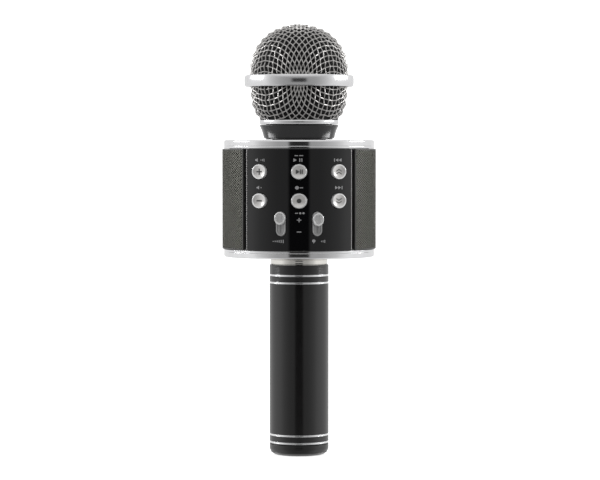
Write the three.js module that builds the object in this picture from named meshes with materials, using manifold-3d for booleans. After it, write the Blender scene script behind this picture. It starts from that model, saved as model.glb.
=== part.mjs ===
// Karaoke microphone: a perforated ball head on a speaker drum with a control panel, on a tubular handle.
// Millimetres. +Z runs up the microphone's axis, the control panel faces -Y, and the origin is the
// centre of the end cap's underside.
//
// Azimuths are measured about +Z from the front (-Y), positive towards +X.
// A "station" is a frame on the drum: +X to the right, +Y up, +Z outwards from the axis.

import * as THREE from "three";
import { mergeVertices } from "three/addons/utils/BufferGeometryUtils.js";
import Module from "manifold-3d";

const wasm = await Module();
wasm.setup();

// ---------------------------------------------------------------------------------------------
// Driving dimensions
// ---------------------------------------------------------------------------------------------

const GAP = 0.3; // clearance kept between neighbouring pieces
const DEGREES = Math.PI / 180;

// Sides of the round pieces: the drum, the handle and head, the pieces inside them, and small ones.
const DRUM_SIDES = 32;
const SLIM_SIDES = 24;
const INNER_SIDES = 16;
const SMALL_SIDES = 10;

// Handle
const HANDLE_R = 16.4;
const HANDLE_WALL = 1.2;
const CAP_TOP = 5.9;
const CAP_EDGE_R = 2.4;
const CAP_FLOOR = [2, 5]; // underside and top of the floor that the sockets pass through
const CAP_RECESS_R = 11.5;
const CAP_SKIRT_TOP = 15;
const HANDLE_TOP = 104.7;
const GROOVE_HEIGHTS = [7.1, 11.25, 95.4, 99.5];
const GROOVE_WIDTH = 1.0;
const GROOVE_DEPTH = 0.3;
const SPIGOT_R = HANDLE_R - HANDLE_WALL - GAP;
const SPIGOT_WALL = 1.9;

// Sockets and switch in the end cap
const PORT_BOARD_Z = [12, 13.6];
const PORT_TIP_Z = 2.6;
const CHARGE_PORT = { x: 0, y: -5.4, width: 8.9, height: 3.2, wall: 0.35, depth: 6 };
const AUDIO_JACK = { x: -5.6, y: 3.4, ferrule: 3.0, bore: 1.8, body: 7.6, bodyZ: 3.8 + CAP_FLOOR[0] };
const POWER_SWITCH = { x: 5.0, y: 3.8, travel: 2.5, lever: 2.6, depth: 2.4, bodyZ: 6.8, bottom: 0.6 };

// Battery and wiring
const BATTERY = { radius: 9.2, bottom: 14.4, length: 65, nubRadius: 3, nub: 1 };
const WIRE_R = 1.2;

// Collar between handle and drum
const COLLAR_R = 15.8;
const COLLAR_Z = [HANDLE_TOP + GAP, 109.3];
const COLLAR_BORE_R = 11.4;
const COLLAR_NECK_R = 12.7;
const NUT = { bottom: 112.8, height: 3.5, across: 19 };

// Speaker drum
const DRUM_R = 42.5;
const GRILLE_THICKNESS = 1.3;
const BARREL_R = [38.9, 40.9];
const COVER_R = 41.6;
const COVER_EDGE_R = 2.3;
const COVER_FLOOR = 2.8;
const COVER_RIM_R = [36.6, 38.6];
const COVER_RIM = 3;
const BOTTOM_COVER_Z = [109.6, 114];
const TOP_COVER_Z = [169.4, 174.2];
const SIDE_Z = [BOTTOM_COVER_Z[1] + GAP, TOP_COVER_Z[0] - GAP];
const GRILLE_EDGE = 45 * DEGREES;
const BARREL_EDGE = 43.5 * DEGREES;
const PANEL_EDGE = 42.3 * DEGREES;
const PANEL_R = [40.2, 42.4];
const WINDOW = { edge: 35 * DEGREES, z: [124, 160] };
const SIDE_STEP = (360 / DRUM_SIDES) * DEGREES;

// Fasteners of the bottom cover
const COVER_SCREW_AZIMUTHS = [60, 180, 300].map((a) => a * DEGREES);
const COVER_SCREW = { place: 35.2, head: 2.7, headHeight: 1.2, shank: 1.25, top: 119, recess: 1.6 };
const BOSS = { radius: 4, bottom: 112.8, top: 122 };

// Buttons: three columns by two rows
const COLUMN_AZIMUTHS = [-30, 0, 30].map((a) => a * DEGREES);
const ROW_HEIGHTS = [156.9, 141.2];
const BUTTON_NAMES = [
  ["volume_up", "play", "previous"],
  ["volume_down", "record", "next"],
];
const BUTTON_SIZE = [9.0, 8.2];
const BUTTON_TOP = 43.8;
const BUTTON_FLANGE = { overhang: 0.9, z: [37.9, 39.3] };
const BUTTON_STEM = { radius: 1.5, bottom: 36.7 };
const SWITCH = { side: 6, top: 35.2, plunger: 1.6, plungerTop: 35.9 };

// Sliders
const SLIDER_AZIMUTH = 13.4 * DEGREES;
const SLIDER_Z = 128.8;
const TROUGH = { width: 5.3, height: 13, wall: 0.7, floor: 41.2, top: 42.65, back: 38.4 };
const KNOB = { width: 6.2, height: 6.6, sides: 12, z: [42.95, 45.4], stem: [1.0, 2.6], tipY: -34.3 };
const KNOB_REST = { echo: 131.9, mic: 131.2 };
const POT = { x: 9.25, width: 5.8, height: 14.3, top: 35.0, slot: [1.9, 9.8, 1.3] };

// Circuit boards
const BOARD = [29.9, 31.5]; // distance of the boards' two faces from the axis
const MAIN_BOARD = { wide: 14, narrow: 9.2, bottom: 116, shoulder: 135.5, top: 166 };
const KEY_BOARD = { width: 12, bottom: 136.2, top: 162.5 };

// Loudspeaker: it faces the back, and its own axis lies at this height
const DRIVER_Z = 141.7;
const BAFFLE_Y = [26.5, 28.5];
const BAFFLE_Z = [117.5, 166];
const DRIVER_R = 24;
const BAFFLE_HOLE_R = 20.8;
const DRIVER_SCREW = { circle: 22.4, head: 1.8, headZ: [23.4, 24.5], shank: 0.9, top: 28 };

// Neck and head
const NECK_Z = [174.5, 182.5];
const NECK_BORE_R = 12;
const NECK_POCKET = { radius: 18.5, bottom: 176 };
const NECK_SPIGOT = { radius: 14.7, bottom: 168.5 };
const RING_Z = [182.8, 185.2];
const RING_R = 22;
const THREAD_R = [16.8, 18.2];
const THREAD_BOTTOM = 176.4;
const DOME_R = 27.5;
const DOME_CENTRE = 210.5;
const DOME_HEIGHT = 27.7;
const DOME_SQUARENESS = 2.15; // exponent of the dome's outline: 2 is a half round
const MESH_THICKNESS = 1;
const BAND_Z = [203.5, 209.9];
const BAND_R = 30.3;
const FOAM_THICKNESS = 3;
const CAPSULE = { radius: 9, z: [200.8, 208.5] };

// ---------------------------------------------------------------------------------------------
// Materials
// ---------------------------------------------------------------------------------------------

function material(color, roughness, metalness) {
  return new THREE.MeshStandardMaterial({ color, roughness, metalness });
}

const satinBlack = material(0x1b191b, 0.38, 0.35);
const glossBlack = material(0x08080a, 0.08, 0.0);
const mattBlack = material(0x141414, 0.7, 0.0);
const polishedSilver = material(0xd6d8da, 0.16, 1.0);
const grilleGrey = material(0x4d4f4c, 0.55, 0.6);
const steelWire = material(0x9a9a98, 0.32, 1.0);
const blackFoam = material(0x0b0b0b, 0.95, 0.0);
const buttonSilver = material(0xc4c6c8, 0.28, 0.9);
const satinSilver = material(0x9b9b9c, 0.4, 0.3);
const boardGreen = material(0x12402a, 0.45, 0.0);
const steel = material(0xa8a9ab, 0.35, 1.0);
const ferrite = material(0x2b2b2d, 0.6, 0.2);
const paperCone = material(0x1d1c1b, 0.85, 0.0);
const copper = material(0xb0683a, 0.4, 1.0);
const cellBlue = material(0x2d5f8c, 0.35, 0.0);
const wireBlack = material(0x101012, 0.5, 0.0);

// ---------------------------------------------------------------------------------------------
// Geometry helpers
// ---------------------------------------------------------------------------------------------

const WELD = 1e-4;

// A closed three.js geometry as a solid, whichever way round its faces were listed.
function solid(geometry) {
  const bare = geometry.clone();
  bare.deleteAttribute("normal");
  bare.deleteAttribute("uv");
  const welded = mergeVertices(bare, WELD);
  const corners = welded.index.array;
  const faces = [];
  for (let i = 0; i < corners.length; i += 3) {
    const [a, b, c] = [corners[i], corners[i + 1], corners[i + 2]];
    if (a !== b && b !== c && c !== a) faces.push([a, b, c]);
  }
  const build = (list) =>
    new wasm.Manifold(
      new wasm.Mesh({
        numProp: 3,
        vertProperties: new Float32Array(welded.attributes.position.array),
        triVerts: new Uint32Array(list.flat()),
      }),
    );
  const made = build(faces);
  return made.volume() > 0 ? made : build(faces.map(([a, b, c]) => [a, c, b]));
}

// A solid as a three.js geometry with flat faces.
function geometryOf(made) {
  const out = made.getMesh();
  const geometry = new THREE.BufferGeometry();
  geometry.setAttribute("position", new THREE.BufferAttribute(out.vertProperties, 3));
  geometry.setIndex(new THREE.BufferAttribute(out.triVerts, 1));
  geometry.computeVertexNormals();
  return geometry;
}

// One named piece of the object.
function piece(name, made, finish) {
  const mesh = new THREE.Mesh(geometryOf(made), finish);
  mesh.name = name;
  return mesh;
}

// A profile of [radius, height] points turned about +Z.
// It is closed on itself unless both ends are on the axis.
function turned(profile, sides = SLIM_SIDES) {
  const points = profile.map(([r, z]) => new THREE.Vector2(r, z));
  const onAxis = profile[0][0] === 0 && profile.at(-1)[0] === 0;
  if (!onAxis) points.push(points[0].clone());
  return solid(new THREE.LatheGeometry(points, sides).rotateX(Math.PI / 2));
}

// Points of an arc in a profile, from one angle to another, both ends included.
function arc(centreR, centreZ, radius, from, to, steps) {
  return Array.from({ length: steps + 1 }, (_, i) => {
    const a = (from + ((to - from) * i) / steps) * DEGREES;
    return [centreR + radius * Math.cos(a), centreZ + radius * Math.sin(a)];
  });
}

function outline(points) {
  return new THREE.Shape(points.map(([x, y]) => new THREE.Vector2(x, y)));
}

// A flat shape pushed up from one height to another.
function pushed(shape, [bottom, top], placement = new THREE.Matrix4()) {
  const geometry = new THREE.ExtrudeGeometry(shape, {
    depth: top - bottom,
    bevelEnabled: false,
    curveSegments: 1,
  });
  return solid(geometry.translate(0, 0, bottom).applyMatrix4(placement));
}

function box([x0, x1], [y0, y1], [z0, z1], placement = new THREE.Matrix4()) {
  const geometry = new THREE.BoxGeometry(x1 - x0, y1 - y0, z1 - z0);
  geometry.translate((x0 + x1) / 2, (y0 + y1) / 2, (z0 + z1) / 2);
  return solid(geometry.applyMatrix4(placement));
}

// An upright round bar about the vertical line through (x, y).
function bar(radius, x, y, [bottom, top], sides = SMALL_SIDES, placement = new THREE.Matrix4()) {
  const geometry = new THREE.CylinderGeometry(radius, radius, top - bottom, sides);
  geometry.rotateX(Math.PI / 2).translate(x, y, (bottom + top) / 2);
  return solid(geometry.applyMatrix4(placement));
}

function ovalOutline(width, height, sides) {
  return outline(
    Array.from({ length: sides }, (_, i) => {
      const a = (2 * Math.PI * i) / sides;
      return [(width / 2) * Math.cos(a), (height / 2) * Math.sin(a)];
    }),
  );
}

// A slot shape with round ends, taller than it is wide, about the origin.
function stadiumOutline(width, height, stepsPerEnd = 6) {
  const r = width / 2;
  const straight = height / 2 - r;
  return outline([
    ...arc(0, straight, r, 0, 180, stepsPerEnd),
    ...arc(0, -straight, r, 180, 360, stepsPerEnd),
  ]);
}

// A curved wall between two radii, from one azimuth round to another.
function sector([inner, outer], from, to, heights) {
  const steps = Math.max(1, Math.round((to - from) / SIDE_STEP));
  const along = (radius) =>
    Array.from({ length: steps + 1 }, (_, i) => {
      const a = from + ((to - from) * i) / steps;
      return [radius * Math.sin(a), -radius * Math.cos(a)];
    });
  return pushed(outline([...along(outer), ...along(inner).reverse()]), heights);
}

function station(azimuth, height) {
  return new THREE.Matrix4()
    .makeTranslation(0, 0, height)
    .multiply(new THREE.Matrix4().makeRotationZ(azimuth))
    .multiply(new THREE.Matrix4().makeRotationX(Math.PI / 2));
}

// A group whose contents are placed in a station's frame.
function atStation(azimuth, height, ...contents) {
  const group = new THREE.Group();
  group.applyMatrix4(station(azimuth, height));
  group.add(...contents);
  return group;
}

// A round wire along a smooth curve through the points.
function wire(points, steps) {
  const curve = new THREE.CatmullRomCurve3(points.map((p) => new THREE.Vector3(...p)));
  const section = outline(arc(0, 0, WIRE_R, 0, 315, 7));
  return solid(
    new THREE.ExtrudeGeometry(section, { steps, extrudePath: curve, bevelEnabled: false, curveSegments: 1 }),
  );
}

function joined(first, ...others) {
  return others.reduce((sum, other) => sum.add(other), first);
}

function cut(body, ...tools) {
  return tools.reduce((left, tool) => left.subtract(tool), body);
}

// ---------------------------------------------------------------------------------------------
// Handle
// ---------------------------------------------------------------------------------------------

function endCap() {
  const [floorBottom, floorTop] = CAP_FLOOR;
  const body = turned([
    [0, floorBottom],
    [CAP_RECESS_R, floorBottom],
    [CAP_RECESS_R, 0],
    ...arc(HANDLE_R - CAP_EDGE_R, CAP_EDGE_R, CAP_EDGE_R, -90, 0, 3),
    [HANDLE_R, CAP_TOP],
    [SPIGOT_R, CAP_TOP],
    [SPIGOT_R, CAP_SKIRT_TOP],
    [SPIGOT_R - SPIGOT_WALL, CAP_SKIRT_TOP],
    [SPIGOT_R - SPIGOT_WALL, floorTop],
    [0, floorTop],
  ]);
  const through = [floorBottom - 1, floorTop + 1];
  const { x, y, width, height } = CHARGE_PORT;
  const socketTurn = new THREE.Matrix4().makeTranslation(x, y, 0);
  socketTurn.multiply(new THREE.Matrix4().makeRotationZ(Math.PI / 2));
  const slotHalf = (POWER_SWITCH.lever + POWER_SWITCH.travel) / 2 + GAP;
  return cut(
    body,
    pushed(stadiumOutline(height + 2 * GAP, width + 2 * GAP, 4), through, socketTurn),
    bar(AUDIO_JACK.ferrule + GAP, AUDIO_JACK.x, AUDIO_JACK.y, through, INNER_SIDES),
    box(
      [POWER_SWITCH.x - slotHalf, POWER_SWITCH.x + slotHalf],
      [POWER_SWITCH.y - POWER_SWITCH.depth / 2 - GAP, POWER_SWITCH.y + POWER_SWITCH.depth / 2 + GAP],
      through,
    ),
  );
}

function handleTube() {
  const grooves = GROOVE_HEIGHTS.flatMap((z) => [
    [HANDLE_R, z - GROOVE_WIDTH / 2],
    [HANDLE_R - GROOVE_DEPTH, z],
    [HANDLE_R, z + GROOVE_WIDTH / 2],
  ]);
  return turned([
    [HANDLE_R - HANDLE_WALL, CAP_TOP + GAP],
    [HANDLE_R, CAP_TOP + GAP],
    ...grooves,
    [HANDLE_R, HANDLE_TOP],
    [HANDLE_R - HANDLE_WALL, HANDLE_TOP],
  ]);
}

function handleCollar() {
  const spigotBottom = HANDLE_TOP - 11;
  const neckTop = NUT.bottom + NUT.height + 1;
  return turned([
    [COLLAR_BORE_R, spigotBottom],
    [SPIGOT_R, spigotBottom],
    [SPIGOT_R, COLLAR_Z[0]],
    [COLLAR_R, COLLAR_Z[0]],
    [COLLAR_R, COLLAR_Z[1]],
    [COLLAR_NECK_R, COLLAR_Z[1]],
    [COLLAR_NECK_R, neckTop],
    [COLLAR_BORE_R, neckTop],
  ]);
}

// The hexagonal nut that clamps the collar's neck to the drum's floor.
function handleLockNut() {
  const heights = [NUT.bottom, NUT.bottom + NUT.height];
  const hexagon = bar(NUT.across, 0, 0, heights, 6);
  return cut(hexagon, bar(COLLAR_NECK_R + GAP, 0, 0, [heights[0] - 1, heights[1] + 1], SLIM_SIDES));
}

function battery() {
  const top = BATTERY.bottom + BATTERY.length;
  return turned(
    [
      [0, BATTERY.bottom],
      [BATTERY.radius, BATTERY.bottom],
      [BATTERY.radius, top],
      [BATTERY.nubRadius, top],
      [BATTERY.nubRadius, top + BATTERY.nub],
      [0, top + BATTERY.nub],
    ],
    INNER_SIDES,
  );
}

// The wires from the socket board up beside the cell, through the collar and on to the main board.
function handleHarness() {
  const besideCell = BATTERY.radius + 1.9;
  const inCollar = COLLAR_BORE_R - 3;
  return wire(
    [
      [0, -besideCell, PORT_BOARD_Z[1] + GAP],
      [0, -besideCell, 50],
      [0, -besideCell, 80],
      [0, -besideCell + 0.4, 84],
      [0, -inCollar, 93.5],
      [0, -inCollar, 114],
      [0, -inCollar - 4, 122],
      [0, -22, 125.5],
      [0, -BOARD[0] + GAP, 126],
    ],
    28,
  );
}

// ---------------------------------------------------------------------------------------------
// Sockets, switch and their board, in the end cap
// ---------------------------------------------------------------------------------------------

function portBoard() {
  return bar(SPIGOT_R - SPIGOT_WALL - 0.6, 0, 0, PORT_BOARD_Z, INNER_SIDES);
}

function chargePort() {
  const { width, height, wall, depth } = CHARGE_PORT;
  const top = PORT_BOARD_Z[0] - GAP;
  const pocket = [PORT_TIP_Z - 1, PORT_TIP_Z + depth];
  const shell = cut(
    pushed(stadiumOutline(height, width, 4), [PORT_TIP_Z, top]),
    pushed(stadiumOutline(height - 2 * wall, width - 2 * wall, 4), pocket),
  );
  const tongue = box([-0.35, 0.35], [-3.2, 3.2], [PORT_TIP_Z + 0.8, PORT_TIP_Z + depth + 0.5]);
  const port = piece("charge_port", joined(shell, tongue), steel);
  port.position.set(CHARGE_PORT.x, CHARGE_PORT.y, 0);
  port.rotation.z = Math.PI / 2;
  return port;
}

function audioJack() {
  const { ferrule, bore, body, bodyZ } = AUDIO_JACK;
  const top = PORT_BOARD_Z[0] - GAP;
  const half = body / 2;
  const jack = cut(
    joined(
      box([-half, half], [-half, half], [bodyZ, top]),
      bar(ferrule, 0, 0, [PORT_TIP_Z, bodyZ + 1], INNER_SIDES),
    ),
    bar(bore, 0, 0, [PORT_TIP_Z - 1, top - 1], SMALL_SIDES),
  );
  const mesh = piece("audio_jack", jack, mattBlack);
  mesh.position.set(AUDIO_JACK.x, AUDIO_JACK.y, 0);
  return mesh;
}

function powerSwitch() {
  const { x, y, travel, lever, depth, bodyZ, bottom } = POWER_SWITCH;
  const body = piece(
    "power_switch_body",
    box([-4.3, 4.3], [-2, 2], [bodyZ, PORT_BOARD_Z[0] - GAP]),
    steel,
  );
  const knob = piece(
    "power_switch_knob",
    joined(
      box([-lever / 2, lever / 2], [-depth / 2, depth / 2], [bottom, bodyZ - GAP]),
      box([-lever / 2 - 0.1, -lever / 2 + 0.4], [-depth / 2, depth / 2], [bottom - 0.2, bottom + 0.6]),
    ),
    mattBlack,
  );
  knob.position.x = -travel / 2;
  const group = new THREE.Group();
  group.position.set(x, y, 0);
  group.add(body, knob);
  return group;
}

// ---------------------------------------------------------------------------------------------
// Speaker drum
// ---------------------------------------------------------------------------------------------

// The bottom cover's outline; the top cover is the same upside down, with another hole.
function coverProfile(holeR) {
  const height = BOTTOM_COVER_Z[1] - BOTTOM_COVER_Z[0];
  return [
    [holeR, 0],
    ...arc(COVER_R - COVER_EDGE_R, COVER_EDGE_R, COVER_EDGE_R, -90, 0, 3),
    [COVER_R, height],
    [COVER_RIM_R[1], height],
    [COVER_RIM_R[1], height + COVER_RIM],
    [COVER_RIM_R[0], height + COVER_RIM],
    [COVER_RIM_R[0], COVER_FLOOR],
    [holeR, COVER_FLOOR],
  ];
}

function screwPlace(azimuth) {
  return [COVER_SCREW.place * Math.sin(azimuth), -COVER_SCREW.place * Math.cos(azimuth)];
}

function bottomCover() {
  const [bottom] = BOTTOM_COVER_Z;
  const profile = coverProfile(COLLAR_NECK_R + GAP).map(([r, z]) => [r, z + bottom]);
  const shell = turned(profile, DRUM_SIDES);
  const holes = COVER_SCREW_AZIMUTHS.flatMap((azimuth) => {
    const [x, y] = screwPlace(azimuth);
    return [
      bar(COVER_SCREW.head + GAP, x, y, [bottom - 1, bottom + COVER_SCREW.recess]),
      bar(COVER_SCREW.shank + GAP, x, y, [bottom, bottom + COVER_FLOOR + 1]),
      bar(BOSS.radius + GAP, x, y, [bottom + COVER_FLOOR, BOSS.top]),
    ];
  });
  return cut(shell, ...holes);
}

function topCover() {
  const [bottom, top] = TOP_COVER_Z;
  const stretch = top - bottom - (BOTTOM_COVER_Z[1] - BOTTOM_COVER_Z[0]);
  const profile = coverProfile(NECK_SPIGOT.radius + GAP).map(([r, z]) => [
    r,
    top - z - (z > COVER_FLOOR ? stretch : 0),
  ]);
  return turned(profile, DRUM_SIDES);
}

// The C-shaped body of the drum, with the flat baffle that carries the loudspeaker, the sound window
// behind it and the bosses for the bottom cover's screws.
function speakerBarrel() {
  const wall = sector(BARREL_R, BARREL_EDGE, 2 * Math.PI - BARREL_EDGE, SIDE_Z);
  const reach = Math.sqrt(BARREL_R[0] ** 2 - BAFFLE_Y[1] ** 2) + 0.6;
  const baffle = box([-reach, reach], BAFFLE_Y, BAFFLE_Z);
  const bossHeights = [BOSS.bottom, BOSS.top];
  const bosses = COVER_SCREW_AZIMUTHS.map((azimuth) => bar(BOSS.radius, ...screwPlace(azimuth), bossHeights));
  const window = sector(
    [BARREL_R[0] - 1, BARREL_R[1] + 1],
    Math.PI - WINDOW.edge,
    Math.PI + WINDOW.edge,
    WINDOW.z,
  );
  const toDriver = station(Math.PI, DRIVER_Z);
  const through = [BAFFLE_Y[0] - 1, BAFFLE_Y[1] + 1];
  return cut(
    joined(cut(wall, window), baffle, ...bosses),
    bar(BAFFLE_HOLE_R, 0, 0, through, INNER_SIDES, toDriver),
    ...driverScrewPlaces().map(([x, y]) => bar(DRIVER_SCREW.shank + GAP, x, y, through, 8, toDriver)),
    ...COVER_SCREW_AZIMUTHS.map((azimuth) =>
      bar(COVER_SCREW.shank + GAP, ...screwPlace(azimuth), [BOSS.bottom - 1, COVER_SCREW.top + 1], 8),
    ),
  );
}

function grilleWrap() {
  const radii = [DRUM_R - GRILLE_THICKNESS, DRUM_R];
  return sector(radii, GRILLE_EDGE, 2 * Math.PI - GRILLE_EDGE, SIDE_Z);
}

function controlPanel() {
  const shell = sector(PANEL_R, -PANEL_EDGE, PANEL_EDGE, SIDE_Z);
  const [width, height] = BUTTON_SIZE;
  const through = [PANEL_R[0] - 3, PANEL_R[1] + 3];
  const buttonHoles = ROW_HEIGHTS.flatMap((z) =>
    COLUMN_AZIMUTHS.map((azimuth) =>
      pushed(ovalOutline(width + 2 * GAP, height + 2 * GAP, BUTTON_SIDES), through, station(azimuth, z)),
    ),
  );
  const troughHoles = [-1, 1].map((side) =>
    pushed(
      stadiumOutline(TROUGH.width + 2 * GAP, TROUGH.height + 2 * GAP, 4),
      through,
      station(side * SLIDER_AZIMUTH, SLIDER_Z),
    ),
  );
  return cut(shell, ...buttonHoles, ...troughHoles);
}

function coverScrew(number) {
  const [x, y] = screwPlace(COVER_SCREW_AZIMUTHS[number]);
  const bottom = BOTTOM_COVER_Z[0] + 0.2;
  const screw = turned(
    [
      [0, bottom],
      [COVER_SCREW.head, bottom],
      [COVER_SCREW.head, bottom + COVER_SCREW.headHeight],
      [COVER_SCREW.shank, bottom + COVER_SCREW.headHeight],
      [COVER_SCREW.shank, COVER_SCREW.top],
      [0, COVER_SCREW.top],
    ],
    8,
  );
  const mesh = piece(`cover_screw_${number + 1}`, screw, steel);
  mesh.position.set(x, y, 0);
  return mesh;
}

// ---------------------------------------------------------------------------------------------
// Buttons and sliders
// ---------------------------------------------------------------------------------------------

const BUTTON_SIDES = 16;

// A cap with a raised rim round a shallow dish, a flange that keeps it behind the panel, and a stem.
function buttonCap() {
  const radius = BUTTON_SIZE[0] / 2;
  const cap = turned(
    [
      [0, BUTTON_STEM.bottom],
      [BUTTON_STEM.radius, BUTTON_STEM.bottom],
      [BUTTON_STEM.radius, BUTTON_FLANGE.z[0]],
      [radius + BUTTON_FLANGE.overhang, BUTTON_FLANGE.z[0]],
      [radius + BUTTON_FLANGE.overhang, BUTTON_FLANGE.z[1]],
      [radius, BUTTON_FLANGE.z[1]],
      [radius, BUTTON_TOP - 0.3],
      [radius - 0.4, BUTTON_TOP],
      [radius - 1.1, BUTTON_TOP],
      [radius - 1.5, BUTTON_TOP - 0.4],
      [0, BUTTON_TOP - 0.5],
    ],
    BUTTON_SIDES,
  );
  const oval = geometryOf(cap).scale(1, BUTTON_SIZE[1] / BUTTON_SIZE[0], 1);
  return solid(oval);
}

function keySwitch() {
  const half = SWITCH.side / 2;
  return joined(
    box([-half, half], [-half, half], [BOARD[1] + GAP, SWITCH.top]),
    bar(SWITCH.plunger, 0, 0, [SWITCH.top - 1, SWITCH.plungerTop], 8),
  );
}

function buttons() {
  return ROW_HEIGHTS.flatMap((height, row) =>
    COLUMN_AZIMUTHS.map((azimuth, column) => {
      const name = BUTTON_NAMES[row][column];
      return atStation(
        azimuth,
        height,
        piece(`${name}_button`, buttonCap(), buttonSilver),
        piece(`${name}_switch`, keySwitch(), mattBlack),
      );
    }),
  );
}

// The silver trough that a slider's knob runs in, with the slot for its stem.
function sliderTrough() {
  const { width, height, wall, floor, top, back } = TROUGH;
  const behind = back + 1.2;
  return cut(
    joined(
      pushed(stadiumOutline(width, height, 4), [back, top]),
      pushed(stadiumOutline(width + 2, height + 2, 4), [back, behind]),
    ),
    pushed(stadiumOutline(width - 2 * wall, height - 2 * wall, 4), [floor, top + 1]),
    pushed(stadiumOutline(2.6, 10, 4), [back - 1, floor + 1]),
  );
}

// The oval knob stands square to the drum; its stem runs straight back to the potentiometer.
function sliderKnob(side, restHeight) {
  const { width, height, sides, z, stem, tipY } = KNOB;
  const cap = pushed(ovalOutline(width, height, sides), z, station(side * SLIDER_AZIMUTH, restHeight));
  const stemEnd = -(z[0] + 1) * Math.cos(SLIDER_AZIMUTH);
  const stemBar = box(
    [side * POT.x - stem[0] / 2, side * POT.x + stem[0] / 2],
    [stemEnd, tipY],
    [restHeight - stem[1] / 2, restHeight + stem[1] / 2],
  );
  return joined(cap, stemBar);
}

function slidePot(side) {
  const [slotWidth, slotHeight, slotDepth] = POT.slot;
  const middle = side * POT.x;
  const along = (length) => [SLIDER_Z - length / 2, SLIDER_Z + length / 2];
  const across = (width) => [middle - width / 2, middle + width / 2];
  return cut(
    box(across(POT.width), [-POT.top, -BOARD[1] - GAP], along(POT.height)),
    box(across(slotWidth), [-POT.top - 1, -POT.top + slotDepth], along(slotHeight)),
  );
}

function sliders() {
  return Object.entries(KNOB_REST).flatMap(([name, restHeight], i) => {
    const side = i === 0 ? -1 : 1;
    const trough = piece(`${name}_slider_trough`, sliderTrough(), polishedSilver);
    return [
      atStation(side * SLIDER_AZIMUTH, SLIDER_Z, trough),
      piece(`${name}_slider_knob`, sliderKnob(side, restHeight), satinSilver),
      piece(`${name}_slide_pot`, slidePot(side), steel),
    ];
  });
}

// ---------------------------------------------------------------------------------------------
// Circuit boards
// ---------------------------------------------------------------------------------------------

function mainBoard() {
  const { wide, narrow, bottom, shoulder, top } = MAIN_BOARD;
  const shape = outline([
    [-wide, bottom],
    [wide, bottom],
    [wide, shoulder],
    [narrow, shoulder],
    [narrow, top],
    [-narrow, top],
    [-narrow, shoulder],
    [-wide, shoulder],
  ]);
  return pushed(shape, BOARD, station(0, 0));
}

function keyBoard(name, azimuth) {
  const middle = (KEY_BOARD.bottom + KEY_BOARD.top) / 2;
  const half = (KEY_BOARD.top - KEY_BOARD.bottom) / 2;
  const board = box([-KEY_BOARD.width / 2, KEY_BOARD.width / 2], [-half, half], BOARD);
  return atStation(azimuth, middle, piece(name, board, boardGreen));
}

// ---------------------------------------------------------------------------------------------
// Loudspeaker, in a frame whose +Z is the row's +Y
// ---------------------------------------------------------------------------------------------

function driverScrewPlaces() {
  return [45, 135, 225, 315].map((a) => [
    DRIVER_SCREW.circle * Math.cos(a * DEGREES),
    DRIVER_SCREW.circle * Math.sin(a * DEGREES),
  ]);
}

function driverBasket() {
  const frame = turned(
    [
      [8.6, 10.2],
      [13.6, 10.2],
      [19.9, 23.2],
      [19.9, 24.9],
      [DRIVER_R, 24.9],
      [DRIVER_R, 26.2],
      [20.4, 26.2],
      [20.4, 25.2],
      [18.9, 25.2],
      [18.9, 23.6],
      [12.9, 13.0],
      [11.6, 13.0],
      [11.6, 11.6],
      [8.6, 11.6],
    ],
    INNER_SIDES,
  );
  const windows = [0, 90, 180, 270].map((a) =>
    box([11, 25], [-4.5, 4.5], [15, 21.5], new THREE.Matrix4().makeRotationZ(a * DEGREES)),
  );
  const holes = driverScrewPlaces().map(([x, y]) => bar(DRIVER_SCREW.shank + GAP, x, y, [24, 27], 8));
  return cut(frame, ...windows, ...holes);
}

// Back plate, ring magnet, front plate and pole, with the ring-shaped gap that the coil works in.
function driverMagnet() {
  return turned(
    [
      [0, -2.5],
      [13.5, -2.5],
      [15, -1],
      [15, 9.9],
      [8.7, 9.9],
      [8.7, 1],
      [7.3, 1],
      [7.3, 10.6],
      [0, 10.6],
    ],
    INNER_SIDES,
  );
}

function voiceCoil() {
  return turned(
    [
      [7.75, 3.2],
      [8.25, 3.2],
      [8.25, 14.2],
      [7.75, 14.2],
    ],
    INNER_SIDES,
  );
}

function spider() {
  return turned(
    [
      [8.6, 13.3],
      [9.8, 13.9],
      [11.2, 13.3],
      [12.4, 13.3],
      [12.4, 13.8],
      [11.2, 13.8],
      [9.8, 14.4],
      [8.6, 13.8],
    ],
    INNER_SIDES,
  );
}

function speakerCone() {
  return turned(
    [
      [7.6, 14.5],
      [8.5, 14.5],
      [16.7, 24.3],
      [15.8, 24.3],
    ],
    INNER_SIDES,
  );
}

function dustCap() {
  return turned(
    [
      [0, 19.4],
      [5, 18.7],
      [9.1, 17.2],
      [9.3, 17.7],
      [5.2, 19.4],
      [0, 20.1],
    ],
    INNER_SIDES,
  );
}

// A half-round roll of rubber between the cone's edge and the frame.
function surround() {
  const [middle, base] = [18.05, 25.2];
  return turned(
    [
      [15.9, 24.6],
      [17.2, 24.6],
      ...arc(middle, base + 0.3, 0.6, 180, 0, 2),
      [20.1, base + 0.3],
      [20.1, base + 0.8],
      ...arc(middle, base + 0.5, 1.1, 0, 180, 3),
      [15.9, 25.1],
    ],
    INNER_SIDES,
  );
}

function driverScrew(number) {
  const { head, headZ, shank, top } = DRIVER_SCREW;
  const screw = turned(
    [
      [0, headZ[0]],
      [head, headZ[0]],
      [head, headZ[1]],
      [shank, headZ[1]],
      [shank, top],
      [0, top],
    ],
    8,
  );
  const mesh = piece(`driver_screw_${number + 1}`, screw, steel);
  const [x, y] = driverScrewPlaces()[number];
  mesh.position.set(x, y, 0);
  return mesh;
}

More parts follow.
